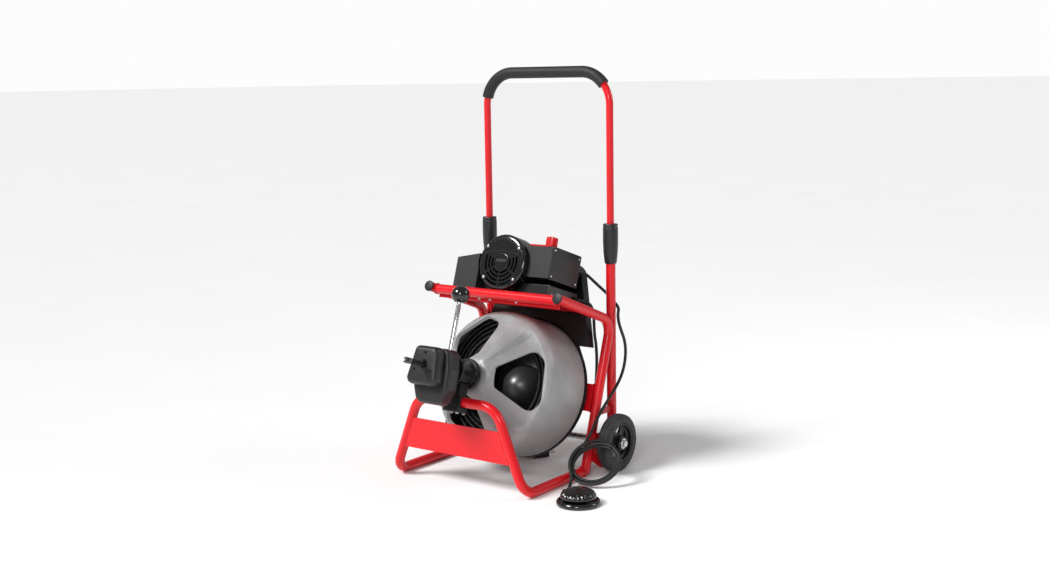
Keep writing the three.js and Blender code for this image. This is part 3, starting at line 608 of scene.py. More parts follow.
def hose_and_pedal():
    gland = lathe([
        (0, -60.9), (8.4, -60.9), (8.4, -56), (7.2, -55.5), (7.2, -52.5), (8, -52), (8, -50.5), (5.9, -49.5), (5.5, -46),
        (5.9, -45), (5.3, -42), (5.6, -41), (4.9, -38), (4.7, -36.3), (0, -36.3),
    ], 36)
    gland = add("hose_gland_body", moved(gland, Matrix.Translation((125, 0, 322))), "black_plastic", lean=True,
                stands_for=["hose_gland"])
    line = hose_line()
    hose, path = add_cord("air_line", line, 4.0, ["air_hose", "hose_coil", "pedal_hose"])
    for k, total in enumerate((42, 250)):
        angle = math.radians(135 + total)
        middle = COIL_CENTRE + COIL_LONG * 61 * math.cos(angle) + COIL_RISE * 55 * math.sin(angle)
        along = COIL_RISE * math.cos(angle) - COIL_LONG * math.sin(angle)
        add(f"coil_tie_{k + 1}", sweep(circle(middle, along, 9.3)[:-1], 0.9, 8, closed=True),
                        "black_plastic")
    pedal = pedal_pieces()


def pedal_pieces():
    centre = Matrix.Translation((331, -64, 0)) @ Matrix.Rotation(math.pi / 2, 4, "X")
    base = lathe([
        (0, 0), (51, 0), (53.6, 1.2), (54.4, 4), (54.4, 7), (53, 10), (50.5, 12.4), (47.5, 13), (46.2, 12), (46.2, 9),
        (0, 9), (0, 0),
    ], 96)
    inlet = prism(rounded([(-11, 4, 3), (11, 4, 3), (11, 22, 6), (-11, 22, 6)]), -10, 9)
    collar = shaped_rod((0, 8.5, 14), (0, 20, 14), [(0, 0), (7.2, 0), (7.2, 2), (6, 2.6), (5.6, 3.3), (0, 3.3)], 28)
    turn = Matrix.Translation((281, -44, 0)) @ Matrix.Rotation(math.radians(27), 4, "Z")
    body = add("pedal_foot", moved(base, centre), "gloss_black", stands_for=["pedal_base"])
    socket = add("pedal_inlet", moved(merge(inlet, collar), turn), "gloss_black", bevel=0.8)
    dome = lathe([
        (0, 17), (43, 17), (44.3, 18.5), (44.4, 21.5), (43, 26), (39.5, 30.5), (33, 34.8), (24, 38), (12, 40), (0, 40.8),
    ][:1] + [(43, 17), (44.3, 18.5), (44.4, 21.5), (43.2, 25.5), (40.4, 29.5), (36, 33), (30, 36), (22, 38.6),
             (19, 38.4), (17.5, 39.6), (9, 40.7), (0, 40.9)], 192)
    for vertex in dome.verts:
        radius, angle = math.hypot(vertex.co.x, vertex.co.z), math.atan2(vertex.co.z, vertex.co.x)
        if 20 < radius < 44 and vertex.co.y > 19:
            rib = max(0.0, math.cos(24 * angle)) ** 2
            vertex.co.y -= 1.5 * rib
            vertex.co.x *= 1 - 0.02 * rib
            vertex.co.z *= 1 - 0.02 * rib
    cap = add("pedal_cap", moved(dome, centre), "gloss_black", "pedal", stands_for=["pedal_dome"], sharp=50)
    return [body, socket, cap]


def power_cord():
    relief = shaped_rod((0, 1.4, 11), (0, 60, 11), [(0, 0), (4.7, 0), (5, 4), (6, 4.2), (6, 6), (5.3, 6.3), (5.6, 10),
                        (6.6, 10.2), (6.6, 12), (6, 12.4), (6.4, 16), (7.4, 16.2), (7.4, 18), (7, 18.4), (8.5, 27),
                        (0, 27)], 28)
    grip = prism(rounded([(-14, 0.2, 5.5), (14, 0.2, 5.5), (14, 21.8, 5.5), (-14, 21.8, 5.5)]), 26, 66)
    turn = Matrix.Translation((-17, 188, 0)) @ Matrix.Rotation(math.radians(-33), 4, "Z")
    plug = add("mains_plug", moved(merge(grip, relief), turn), "black_plastic", stands_for=["power_plug"], bevel=1.6)
    blades = merge(*(prism(rounded([(s * 7 - 0.8, 7.6, 0.3), (s * 7 + 0.8, 7.6, 0.3), (s * 7 + 0.8, 14.4, 0.3),
                                    (s * 7 - 0.8, 14.4, 0.3)], 2), 65, 85.5) for s in (-1, 1)))
    blades = add("plug_blades", moved(blades, turn), "zinc", bevel=0.4)
    elbow = merge(tapered(bent([(142.6, -58, 240, 0), (167, -58, 240, 15), (167, -30.4, 240, 0)], 6), 6.6, 4.9),
                  rod((142.4, -58, 240), (147, -58, 240), 9.6, 6), rod((147, -58, 240), (149, -58, 240), 8, 28))
    elbow = add("cord_elbow", elbow, "black_plastic", lean=True, stands_for=["cord_gland"])
    ribs = merge(*(moved(band(5, r, v, v + 1.6, 28), Matrix.Translation((167, 0, 240)))
                   for r, v in ((6.3, -42), (6.0, -38.5), (5.7, -35))))
    ribs = add("cord_elbow_ribs", ribs, "black_plastic", lean=True)
    for k, degrees in enumerate((200, 325)):
        loop = [Vector((a, 0, b)) for a, b in rounded([(-8.9, -8.9, 4), (8.9, -8.9, 4), (8.9, 8.9, 4), (-8.9, 8.9, 4)], 6)]
        spin = Matrix.Translation((-110, 400, 9.6)) @ Matrix.Rotation(math.radians(degrees), 4, "Z")
        tie = moved(sweep(loop, 0.55, 8, closed=True), spin @ Matrix.Translation((44.4, 0, 0)))
        add(f"lead_tie_{k + 1}", tie, "black_plastic")
    line = soft_line([*CORD_DOWN, *stored_lead(), *CORD_TO_PLUG], 4.0)
    cord, path = add_cord("mains_cord", line, 4.0, ["power_cord"])


hose_and_pedal()
power_cord()


# Frame --------------------------------------------------------------------------------------------
def tube_frame():
    arch = bent([(-208, 130, 12.7, 0), (-208, -118, 12.7, 42), (-124, -118, 223, 65), (124, -118, 223, 65),
                 (208, -118, 12.7, 42), (208, 130, 12.7, 0)])
    add("arch_tube", sweep(arch, 12.7, 40), "red_paint", stands_for=["front_arch"])
    for side, sign in SIDES:
        x = sign * 208
        line = bent([(x, 32, -196, 0), (x, 32, 207.5, 45), (x, -224, 218.6, 0)])
        add(f"{side}_side_tube", sweep(line, 12.7, 40), "red_paint", lean=True, stands_for=[f"{side}_upright"])
        forward = (line[-1] - line[-2]).normalized()
        cap = [(0, 0.3), (12.4, 0.3), (13.6, 0.6), (14.3, 1.6), (14.3, 3.2), (13.4, 4.8), (10, 5.7), (0, 6)]
        add(f"{side}_rail_plug", shaped_rod(line[-1], line[-1] + forward, cap, 40), "rubber", lean=True,
            stands_for=[f"{side}_rail_cap"])
        bead(f"{side}_crossbar_weld", circle((sign * 194.2, -207, 216), (1, 0, 0), 13.2), lean=True)
        for w in (-36, 36):
            bead(f"{side}_plate_weld_{'low' if w < 0 else 'high'}",
                 [Vector((sign * 195.2, v, w)) for v in (22, 33)], 1.7, lean=True)
        foot = [Vector((x + 13.4 * math.cos(a), 133.6 + 3.5 * math.sin(a), 12.7 + 13.4 * math.sin(a)))
                for a in (2 * math.pi * k / 40 for k in range(3, 38))]
        bead(f"{side}_foot_weld", [p for p in foot if p.z > 1.5], 1.8)
    add("cross_tube", rod((-195, -207, 216), (195, -207, 216), 12.7, 40), "red_paint", lean=True,
        stands_for=["front_crossbar"])
    keep("front_panel", "red_paint", 0.9)
    for _, sign in SIDES:
        ends = [Vector((sign * (208 - 0.3994 * (z - 12.7) - 11.2), -126.6, z)) for z in (88, 162)]
        bead(f"panel_weld_{'right' if sign > 0 else 'left'}", ends, 1.6)
    keep("motor_plate", "red_paint", 1.0)
    keep("bearing_plate", "red_paint", 1.0)
    add("bearing_ring", lathe([(11.3, 33.6), (20, 33.6), (20.4, 34.4), (19.5, 35.2), (12, 35.2), (11.3, 34.4),
                               (11.3, 33.6)], 56), "zinc", lean=True)
    for k, angle in enumerate((45, 135, 225, 315)):
        hexagon_bolt(f"bearing_bolt_{k + 1}", polar(32, angle, 30), (0, 1, 0), 4.5, lean=True)
    gusset = prism(rounded([(-150, 213, 0), (-120, 213, 0), (-120, 206, 0), (-112, 190, 8), (-128, 184, 8), (-150, 206, 6)]),
                   -190, -186)
    add("plate_gusset", gusset, "red_paint", lean=True, bevel=0.8)


def handle():
    for side, sign in SIDES:
        x = sign * 200
        pipe = lathe([(10.4, 100), (12.7, 100), (12.7, 600), (10.4, 600), (10.4, 100)], 48)
        pipe.transform(Matrix.Translation((x, 287.5, 0)) @ Matrix.Rotation(math.pi / 2, 4, "X")
                       @ Matrix.Scale(-1, 4, (0, 0, 1)))
        lugs = []
        for z in (150, 300):
            back = 177 + 32 / math.cos(TILT) + (z - 201) * math.tan(TILT) + 12.7 / math.cos(TILT)
            lugs.append(box((x - 3, back - 1.5, z - 8), (x + 3, 276, z + 8)))
        add(f"{side}_post_tube", merge(pipe, *lugs), "red_paint", stands_for=[f"{side}_post"], bevel=0.5)
        collar = lathe([
            (13.7, 538), (15.0, 538), (15.8, 539.2), (17.4, 552), (18.9, 568), (19.8, 588), (20, 600), (19.9, 628),
            (19.5, 633), (18.8, 634), (18.8, 636), (19.6, 637), (19.4, 640.4), (18.2, 642), (10.6, 642), (10.6, 602),
            (13.7, 602), (13.7, 538),
        ], 72)
        for vertex in collar.verts:
            radius = math.hypot(vertex.co.x, vertex.co.z)
            if radius > 16 and 556 < vertex.co.y < 628:
                rib = max(0.0, math.cos(9 * math.atan2(vertex.co.z, vertex.co.x))) ** 3
                vertex.co.x *= 1 - 0.035 * rib
                vertex.co.z *= 1 - 0.035 * rib
        upright = Matrix.Translation((x, 287.5, 0)) @ Matrix.Rotation(math.pi / 2, 4, "X")
        add(f"{side}_clamp_collar", moved(collar, upright), "charcoal_plastic", f"{side}_collar",
            stands_for=[f"{side}_post_collar"], sharp=40)
    bow = bent([(-200, 287.5, 556, 0), (-200, 287.5, 1036, 86), (200, 287.5, 1036, 86), (200, 287.5, 556, 0)], 3)
    add("bow_tube", sweep(bow, 9.5, 40), "red_paint", "handle", stands_for=["handle_bow"])
    line = even(bow, 4.0)
    lengths = 0.0
    marks = []
    for a, b in zip(line, line[1:]):
        lengths += (b - a).length
        marks.append(lengths)
    total = marks[-1]
    arc = 86 * math.pi / 2
    straight = (total - 2 * arc - 228) / 2
    first, last = straight + arc * 0.14, total - straight - arc * 0.42
    covered = [p for p, at in zip(line[1:], marks) if first < at < last]
    grip = sweep(covered, 15.2, 40, bore=9.7)
    add("foam_grip", grip, "foam", "handle", stands_for=["handle_grip"])


# Wheels -------------------------------------------------------------------------------------------
def wheels():
    for side, sign in SIDES:
        place = Matrix.Translation((sign * 236, 228, 76)) @ Matrix.Rotation(-sign * math.pi / 2, 4, "Z")
        body = f"{side}_wheel"
        tyre = lathe([
            (52.4, 3), (53, 2.4), (62, 1.4), (67, 1.6), (70.5, 3.2), (73, 5.6), (74.4, 7.6), (74.9, 9.4), (74.9, 12.6),
            (74.2, 13), (74.2, 14.2), (75.8, 14.6), (75.8, 22.4), (74.2, 22.8), (74.2, 24), (74.9, 24.4), (74.9, 27.6),
            (74.4, 29.4), (73, 31.4), (70.5, 33.8), (67, 35.4), (62, 35.6), (53, 34.6), (52.4, 34), (52.4, 3),
        ], 288)
        for vertex in tyre.verts:
            radius, angle = math.hypot(vertex.co.x, vertex.co.z), math.atan2(vertex.co.z, vertex.co.x)
            if radius > 69.5 and (math.degrees(angle) % 5) < 1.9:
                vertex.co.x *= 1 - 1.3 / radius
                vertex.co.z *= 1 - 1.3 / radius
        add(f"{side}_tread", moved(tyre, place), "tyre", body, stands_for=[f"{side}_tyre"], sharp=30)
        web = lathe([
            (9.4, 0.4), (17.5, 0.4), (19, 1.8), (19, 13), (24, 15), (41, 16), (46, 13), (46.5, 4.6), (48, 3.2),
            (50.6, 3.2), (51.8, 4.2), (51.8, 33), (50.6, 33.9), (48, 33.9), (46.5, 32.4), (46, 24), (41, 21), (24, 22),
            (19, 24), (19, 35.4), (17.5, 36.7), (9.4, 36.7), (9.4, 0.4),
        ], 120)
        windows = []
        for k in range(5):
            hole = prism(rounded([(-6, 25, 4), (6, 25, 4), (17, 41, 5), (-17, 41, 5)], 4), 8, 30)
            windows.append(moved(hole, Matrix.Rotation(math.radians(72 * k), 4, "Y")))
        rim = carve(web, *windows)
        add(f"{side}_wheel_disc", moved(rim, place), "black_plastic", body, stands_for=[f"{side}_rim"], bevel=0.7)
        outer = sign * 273
        hexagon_bolt(f"{side}_axle_nut", (outer + sign * 1.0, 228, 76), (sign, 0, 0), 9.5)
        keep(f"{side}_axle_bracket", "red_paint", 1.0)
    ends = [(0, 0), (6.8, 0), (8, 1.2), (8, 562.8), (6.8, 564), (0, 564)]
    washers = [moved(lathe([(8.2, 0), (13.5, 0), (13.5, 1.8), (8.2, 1.8), (8.2, 0)], 36),
                     Matrix.Translation((sign * 273.8, 228, 76))
                     @ Matrix.Rotation(-sign * math.pi / 2, 4, "Z")) for _, sign in SIDES]
    add("axle_bar", merge(shaped_rod((-282, 228, 76), (282, 228, 76), ends, 36), *washers), "zinc",
        stands_for=["axle"])


# Drum ---------------------------------------------------------------------------------------------
WINDOWS = (4.5, 124.5, 244.5)


def sunk(radius):
    """How deep the panels round the windows lie under the ridges between them."""
    start, deepest, end, depth = 44, 150, 174, 17
    if not start < radius < end:
        return 0.0
    return depth * min(((radius - start) / (deepest - start)) ** 0.65, (end - radius) / (end - deepest))


def pressed(radius, direction):
    offsets = []
    for lobe in WINDOWS:
        away = direction - math.radians(lobe)
        offsets.append(abs(math.degrees(math.atan2(math.sin(away), math.cos(away)))))
    return sunk(radius) * min(max((52.5 - min(offsets)) / 6, 0), 1)


def cone_at(radius):
    return -179 + (radius - 142) * (0.595 if radius < 142 else 0.8)


def window_cutter(direction, widen):
    """A window's hole through the cone, wider at the outside by the bevel round its edge."""
    outline = rounded([(55, -26, 9), (126, -80, 20), (158, -52, 26), (158, 52, 26), (126, 80, 20), (55, 26, 9)], 8)
    count = len(outline)
    mesh = bmesh.new()
    rings = []
    for outset, depth in ((widen, None), (widen, -4), (0, 2.2), (-0.4, 400)):
        ring = []
        for i, point in enumerate(outline):
            along = outline[(i + 1) % count] - outline[i - 1]
            out = Vector((along.y, -along.x)).normalized()
            r, t = point + out * outset
            size = math.hypot(r, t)
            v = -320 if depth is None else min(cone_at(size) + sunk(size) + depth, -104)
            ring.append(mesh.verts.new((r, v, t)))
        rings.append(ring)
    mesh.faces.new(rings[0])
    mesh.faces.new(rings[-1])
    for first, second in zip(rings, rings[1:]):
        for i in range(count):
            j = (i + 1) % count
            mesh.faces.new((first[i], first[j], second[j], second[i]))
    bmesh.ops.triangulate(mesh, faces=[f for f in mesh.faces if len(f.verts) == 4])
    bmesh.ops.recalc_face_normals(mesh, faces=mesh.faces)
    return moved(mesh, Matrix.Rotation(math.radians(-direction), 4, "Y"))


def drum():
    shoulder = [(184, -122), (183.6, -134), (181.6, -144), (178, -152.5), (172, -160), (163, -166.5), (152, -172.8)]
    cone = [(142 - 3 * k, -179 - 1.786 * k) for k in range(0, 28)]
    outer = [(184, 0), (184, -20), (184, -60), (184, -100), *shoulder, *cone,
             (55, -231), (50, -234.6), (45, -237.6), (38, -239.8), (25.6, -240.6), (25, -241.4), (25, -262), (24, -263)]
    inner = [(14, -263), (14, -238), (40, -235.2), (52, -226.5), (140, -174.6), (151, -168.6), (161, -162), (169, -154.6),
             (175.2, -146), (178.8, -134), (180.4, -120), (180.4, 0), (184, 0)]
    shell = lathe([*outer, *inner], 240)
    for vertex in shell.verts:
        vertex.co.y += pressed(math.hypot(vertex.co.x, vertex.co.z), math.atan2(vertex.co.z, vertex.co.x))
    shell = carve(shell, *(window_cutter(direction, 5.5) for direction in WINDOWS))
    add("drum_shell", shell, "drum_grey", "drum", lean=True, stands_for=["drum_front_shell"], sharp=24)
    back = lathe([
        (10.4, -28), (20.5, -28), (22, -26.5), (22, 0.6), (24, 0.8), (183, 0.8), (184.2, 1.2), (184, 2.4), (177.5, 4.6),
        (177.5, 12.4), (184, 14.6), (183.6, 15.8), (173, 16), (172, 15), (172, 6.6), (170, 5), (32, 5), (30, 7), (30, 17),
        (29, 18), (10.4, 18), (10.4, -28),
    ], 180)
    add("drum_back", back, "black_plastic", "drum", lean=True, stands_for=["drum_rear_shell"])
    ribs = [moved(box((36, 4.5, -1.6), (166, 9, 1.6)), Matrix.Rotation(math.radians(30 * k), 4, "Y")) for k in range(12)]
    add("drum_back_ribs", merge(*ribs), "black_plastic", "drum", lean=True, bevel=0.8)
    dome = [(0, -72), (7, -71.6), (15, -69.6), (25, -64.6), (36, -56), (46, -44), (53.5, -30), (57, -18), (58, -9),
            (60, -6), (96, -4), (97, -1.2), (0, -1.2)]
    add("inner_dome", lathe(dome, 120), "dome_black", "drum", lean=True, stands_for=["inner_drum"])
    shaft = lathe([(0, -50), (10, -50), (10, 45), (9, 46), (0, 46)], 40)
    nut = lathe([(0, 36), (15.4, 36), (15.8, 37), (15.8, 43.4), (14, 45), (0, 45)], 6)
    add("drum_axle", merge(shaft, nut), "zinc", "drum", lean=True, stands_for=["drum_shaft"])


def cable():
    """The stored turns that show, a near-black ring of painted shade behind them, and the end that runs out through the
    nose.
    """
    turns = []
    rows = [(radius, -111.6) for radius in (119.5, 132, 144.6, 157.2, 169.6)]
    rows += [(radius, -98.8) for radius in (119.5, 169.6)]
    rows += [(119.5, -86.1 + 12.7 * k) for k in range(6)] + [(169.6, -86.1 + 12.7 * k) for k in range(6)]
    for k, (radius, v) in enumerate(rows):
        line = []
        for i in range(180):
            angle = 2 * i
            wave = 0.8 * math.sin(math.radians(2 * angle) + 1.7 * k)
            line.append(polar(radius + wave * 0.6, angle, v + 0.7 * math.sin(math.radians(angle) + 2.3 * k)))
        turns.append(sweep(line, 6.15, 10, closed=True))
    add("stored_turns", merge(*turns), "cable_steel", "drum", lean=True, stands_for=["cable_coil"], sharp=60)
    # Painted shade: a near-black matte ring fills the coil's space behind the turns that show, where the inside of the
    # drum lies in shade.
    core = lathe([(118, -10), (171, -10), (171, -106), (118, -106), (118, -10)], 72)
    add("coil_shade_fill", core, "core_shadow", "drum", lean=True)
    inside = [(144, -122.6), (134, -140), (105, -164), (66, -186), (32, -206), (8, -228), (0, -250)]
    line = soft_line([polar(r, 42, v) for r, v in inside] + [Vector((0, -270, 0)), Vector((0, -492, 0))], 3.0)
    lead = sweep(line, 6.35, 16)
    add("cable_lead", lead, "cable_steel", "drum", lean=True, stands_for=["cable_end"], sharp=60)
    tip = lathe([(0, -487), (6.6, -487), (7.4, -489), (7.4, -499), (6.9, -500), (7.5, -501.5), (7.5, -506.8),
                 (6.2, -508.2), (0, -508.2)], 32)
    tip = carve(tip, box((-9, -512, -2.1), (9, -500.5, 2.1)))
    add("cable_tip", tip, "dark_steel", "drum", lean=True)


drum()
cable()


# Feed ---------------------------------------------------------------------------------------------
def feed():
    spool = lathe([
        (9.5, -277), (26.8, -277), (26.8, -258.4), (38.6, -258.4), (39.5, -259.6), (39.5, -266.6), (38.4, -267.8),
        (31.5, -268.6), (30, -270), (30, -322), (31.5, -325), (38.6, -325.8), (39.5, -327), (39.5, -331), (38.6, -332),
        (21, -332), (20, -333), (20, -371.4), (9.5, -372), (9.5, -277),
    ], 96)
    add("stand_spool", spool, "black_paint", lean=True, stands_for=["guide_stand"])
    saddle = carve(box((-26, -305, -86), (26, -268, -57)), rod((-40, -286.7, -72.7), (40, -286.7, -72.7), 13.0, 40))
    add("stand_foot", merge(saddle, box((-18, -302, -58), (18, -271, -26))), "black_paint", lean=True, bevel=1.4)
    strap = carve(prism(rounded([(-306, -100, 2.5), (-267, -100, 2.5), (-267, -86.3, 0), (-306, -86.3, 0)]), -24, 24, "X"),
                  rod((-40, -286.7, -72.7), (40, -286.7, -72.7), 13.0, 40))
    add("stand_strap", strap, "black_paint", lean=True, stands_for=["stand_clamp"], bevel=0.7)
    for k, (x, v) in enumerate(((-19, -300), (19, -300), (-19, -273), (19, -273))):
        hexagon_bolt(f"strap_bolt_{k + 1}", (x, v, -99.8), (0, 0, -1), 4, lean=True)
    for k, degrees in enumerate((60, 120, 240, 300)):
        screw(f"spool_screw_{k + 1}", polar(35, degrees, -331.8), (0, -1, 0), 2.6, lean=True)

    outline = rounded([(-40, 47, 15), (40, 47, 15), (52, 0, 14), (53, -52, 20), (36, -92, 24), (-36, -92, 24), (-53, -52, 20),
                       (-52, 0, 14)], 8)
    rear = loft(outline, [(-358, 4), (-359.2, 1.8), (-362, 0.4), (-366, 0), (-390, 0), (-396, 0.8), (-400, 2.4), (-402.6, 4.6),
                          (-404, 8)])
    rear = carve(rear, rod((0, -412, 0), (0, -366, 0), 38, 64), rod((0, -380, 0), (0, -340, 0), 21, 48))
    add("feed_rear_case", rear, "charcoal_plastic", lean=True, stands_for=["feed_housing_rear"])
    nose = rounded([(-38, 46, 14), (32, 46, 14), (43, -51, 17), (-55, -51, 17)], 8)
    holes = [rod(polar(29, degrees, -446), polar(29, degrees, -434), 3.4, 20) for degrees in (90, 210, 330)]
    front = loft(nose, [(-404.3, 1), (-405, 0.3), (-406, 0), (-422, 0), (-428, 0.7), (-432.5, 2.4), (-435.6, 4.9),
                        (-437.4, 8), (-438, 11.5)])
    front = carve(front, rod((0, -446, 0), (0, -400, 0), 9.6, 40), rod((0, -420, 0), (0, -404, 0), 30.4, 48), *holes)
    add("feed_front_case", front, "charcoal_plastic", lean=True, stands_for=["feed_housing_front"])
    add("feed_mouth_ring", lathe([(8.6, -438.6), (12.4, -438.6), (13.4, -437.8), (13.4, -431), (8.6, -431),
                                  (8.6, -438.6)], 48), "black_paint", lean=True)
    for k, degrees in enumerate((90, 210, 330)):
        screw(f"feed_screw_{k + 1}", polar(29, degrees, -434.4), (0, -1, 0), 2.8, lean=True, slot="black_paint")
    keep("roller_carrier", "zinc", 0.4)
    for k, degrees in enumerate((90, 210, 330)):
        centre = polar(18.8, degrees)
        roller = lathe([(3.7, -410), (10.4, -410), (11, -409.4), (11, -405), (10.2, -404), (11, -403), (11, -398.6),
                        (10.4, -398), (3.7, -398), (3.7, -410)], 48)
        add(f"roller_wheel_{k + 1}", moved(roller, Matrix.Translation(centre)), "zinc", f"roller_{k + 1}", lean=True,
            stands_for=[f"feed_roller_{k + 1}"])

    yoke = lathe([(21.4, -354), (30.6, -354), (32, -352.6), (32, -339.4), (30.6, -338), (21.4, -338), (21.4, -354)], 72)
    boss = shaped_rod((0, -346, 29), (0, -346, 60), [(0, 0), (9, 0), (9, 8), (8.2, 11), (6.2, 11), (0, 11)], 36)
    add("lever_hub", merge(yoke, boss), "black_paint", "lever", lean=True, stands_for=["lever_yoke"])
    stem = shaped_rod((0, -346, 33.3), (0, -346, 170), [(0, 0), (6, 0), (6, 128), (5.2, 131), (5.2, 136.4), (0, 136.4)], 40)
    add("lever_stem", stem, "chrome", "lever", lean=True, stands_for=["lever_rod"])
    ball = lathe([(0, 170), (8.4, 170), (9.6, 171), (10.6, 169.6 + 1.2)] + [
        (23 * math.sin(math.radians(a)), 189 - 23 * math.cos(math.radians(a))) for a in range(32, 181, 6)] + [(0, 212)], 80)
    turn = Matrix.Translation((0, -346, 0)) @ Matrix.Rotation(math.pi / 2, 4, "X")
    add("lever_ball", moved(ball, turn), "gloss_black", "lever", lean=True, stands_for=["lever_knob"])


# Motor and belt drive -----------------------------------------------------------------------------
def belt_loop(drum_r, pulley_r, steps=64):
    """A straight-sided loop round the drum and the pulley, as (x, w) points."""
    slope = math.asin((drum_r - pulley_r) / 302)
    points = [Vector((pulley_r * math.cos(a), 302 + pulley_r * math.sin(a)))
              for a in (slope + (math.pi - 2 * slope) * k / 24 for k in range(25))]
    return points + [Vector((drum_r * math.cos(a), drum_r * math.sin(a)))
                     for a in (math.pi - slope + (math.pi + 2 * slope) * k / steps for k in range(steps + 1))]


def belt_drive():
    outer, inner = belt_loop(185.4, 30.9), belt_loop(178.9, 24.4)
    belt = bmesh.new()
    rings = [[belt.verts.new((p.x, v, p.y)) for p in loop] for loop, v in
             ((inner, 5.2), (outer, 5.0), (outer, 12.0), (inner, 11.8))]
    for a, b in zip(rings, rings[1:] + rings[:1]):
        for i in range(len(a)):
            j = (i + 1) % len(a)
            belt.faces.new((a[i], a[j], b[j], b[i]))
    add("belt_loop", belt, "rubber", lean=True, stands_for=["drive_belt"])
    pulley = lathe([(8.4, 1), (32, 1), (33, 1.8), (33, 2.6), (23, 4.2), (23, 12.8), (33, 14.4), (33, 15.2), (32, 16), (8.4, 16),
                    (8.4, 1)], 72)
    add("pulley_wheel", moved(pulley, Matrix.Translation((0, 0, 302))), "zinc", "motor_rotor", lean=True,
        stands_for=["motor_pulley"])
    outside = rounded([(-178, 130, 0), (178, 130, 0), (109, 347, 40), (-109, 347, 40)], 14)
    inside = rounded([(-182, 118, 0), (182, 118, 0), (106.5, 344.5, 38), (-106.5, 344.5, 38)], 14)
    guard = carve(prism(outside, -6, 21.5), prism(inside, -3.5, 19), rod((0, -9, 0), (0, 19, 0), 190, 120),
                  rod((0, -9, 302), (0, 0, 302), 20, 48))
    guard = add("guard_shell", guard, "black_plastic", lean=True, stands_for=["belt_guard"])
    soften(guard, 2.2, 4)
    panel = rounded([(-150, 150, 12), (150, 150, 12), (96, 330, 30), (-96, 330, 30)], 10)
    rim = rounded([(-144, 156, 9), (144, 156, 9), (92, 324, 26), (-92, 324, 26)], 10)
    ridge = carve(prism(panel, 20.8, 22.2), prism(rim, 20, 24))
    add("guard_ridge", ridge, "black_plastic", lean=True, bevel=0.5)
    for k, (x, w) in enumerate(((-118, 170), (118, 170), (-84, 312), (84, 312))):
        screw(f"guard_screw_{k + 1}", (x, 21.5, w), (0, 1, 0), 4, lean=True)


def motor():
    up = Matrix.Translation((0, 0, 302))
    stator = lathe([(9.4, -150), (66, -150), (68, -148), (68, -34), (66, -31), (54, -30), (52, -27), (22, -26), (20, -24),
                    (17, -23), (17, -8), (16, -7), (9.4, -7), (9.4, -150)], 96)
    stator = moved(stator, up)
    ribs = []
    for k in range(24):
        degrees = 15 * k
        if 200 < degrees < 340 or degrees < 50 or degrees > 340:
            continue
        rib = box((66, -140, -1.3), (69.6, -40, 1.3))
        ribs.append(moved(rib, up @ Matrix.Rotation(math.radians(-degrees), 4, "Y")))
    room = rod((0, -200, 302), (0, -149.5, 302), 75, 64)
    base = carve(box((-70, -175, 217.3), (142, -45, 258)), room)
    add("motor_stator", stator, "black_paint", lean=True, stands_for=["motor_body"])
    add("motor_ribs", merge(*ribs), "black_paint", lean=True, bevel=0.5)
    add("motor_base", base, "black_paint", lean=True, bevel=1.6)
    shaft = lathe([(0, -190), (7, -190), (8, -189), (8, 16), (7, 17), (0, 17)], 32)
    add("rotor_shaft", moved(shaft, up), "zinc", "motor_rotor", lean=True, stands_for=["motor_shaft"])
    blades = []
    for k in range(7):
        blade = box((14, -185, -0.9), (60, -169, 0.9))
        for vertex in blade.verts:
            vertex.co.z += (vertex.co.x - 14) * 0.12 * (1 if vertex.co.y < -177 else -0.4)
        blades.append(moved(blade, Matrix.Rotation(2 * math.pi * k / 7, 4, "Y")))
    hub = lathe([(8.2, -186), (14, -186), (16, -184), (16, -168), (8.2, -168), (8.2, -186)], 48)
    add("fan_wheel", moved(merge(hub, *blades), up), "black_plastic", "motor_rotor", lean=True,
        stands_for=["cooling_fan"])


def arc_slot(inner, outer, start, end, steps=14):
    angles = [math.radians(start + (end - start) * k / steps) for k in range(steps + 1)]
    outline = [Vector((outer * math.cos(a), 302 + outer * math.sin(a))) for a in angles]
    outline += [Vector((inner * math.cos(a), 302 + inner * math.sin(a))) for a in reversed(angles)]
    return prism(outline, -212, -200)


def fan_guard():
    cover = moved(lathe([
        (0, -207), (62, -207), (68, -206.2), (72, -204), (74, -200.5), (74, -151), (73.4, -150.4), (70.8, -150.4),
        (70.8, -199), (68, -202.4), (62, -203.5), (0, -203.5),
    ], 120), Matrix.Translation((0, 0, 302)))
    slots = [arc_slot(r, r + 5.2, start, start + 49) for r in (25.5, 36, 46.5, 57) for start in (160, 217, 274, 331)
             if r < 57 or start in (217, 274)]
    add("fan_cover", carve(cover, *slots), "gloss_black", lean=True, stands_for=["fan_guard"], bevel=0.9)
    rim = soft_line([Vector((r * math.cos(math.radians(a)), -207.4, 302 + r * math.sin(math.radians(a))))
                     for r, a in [*((61, a) for a in range(20, 161, 10)), (50, 150), (36, 128), (31, 90), (36, 52),
                                  (50, 30), (61, 20)]], 3)
    add("fan_cover_crescent", sweep(rim, 1.3, 10), "gloss_black", lean=True)
    add("fan_cover_ring", sweep(circle((0, -207.3, 302), (0, 1, 0), 22.5)[:-1], 1.2, 10, closed=True), "gloss_black",
        lean=True)
    for k, degrees in enumerate((38, 142, 222, 318)):
        x, w = 64 * math.cos(math.radians(degrees)), 302 + 64 * math.sin(math.radians(degrees))
        ear = shaped_rod((x, -204, w), (x, -212, w), [(0, 0), (7.6, 0), (7.6, 3), (6.8, 4.2), (0, 4.2)], 32)
        add(f"fan_cover_ear_{k + 1}", ear, "black_plastic", lean=True)
        screw(f"fan_cover_screw_{k + 1}", (x, -208.2, w), (0, -1, 0), 3.9, lean=True)
    badge = rounded([(-17, 310, 3), (17, 310, 3), (17, 318, 3), (-17, 318, 3)], 4)
    add("fan_cover_badge", moved(prism(badge, -208.2, -206.6), Matrix.Translation((0, 0, -8))), "charcoal_plastic",
        lean=True, bevel=0.3)


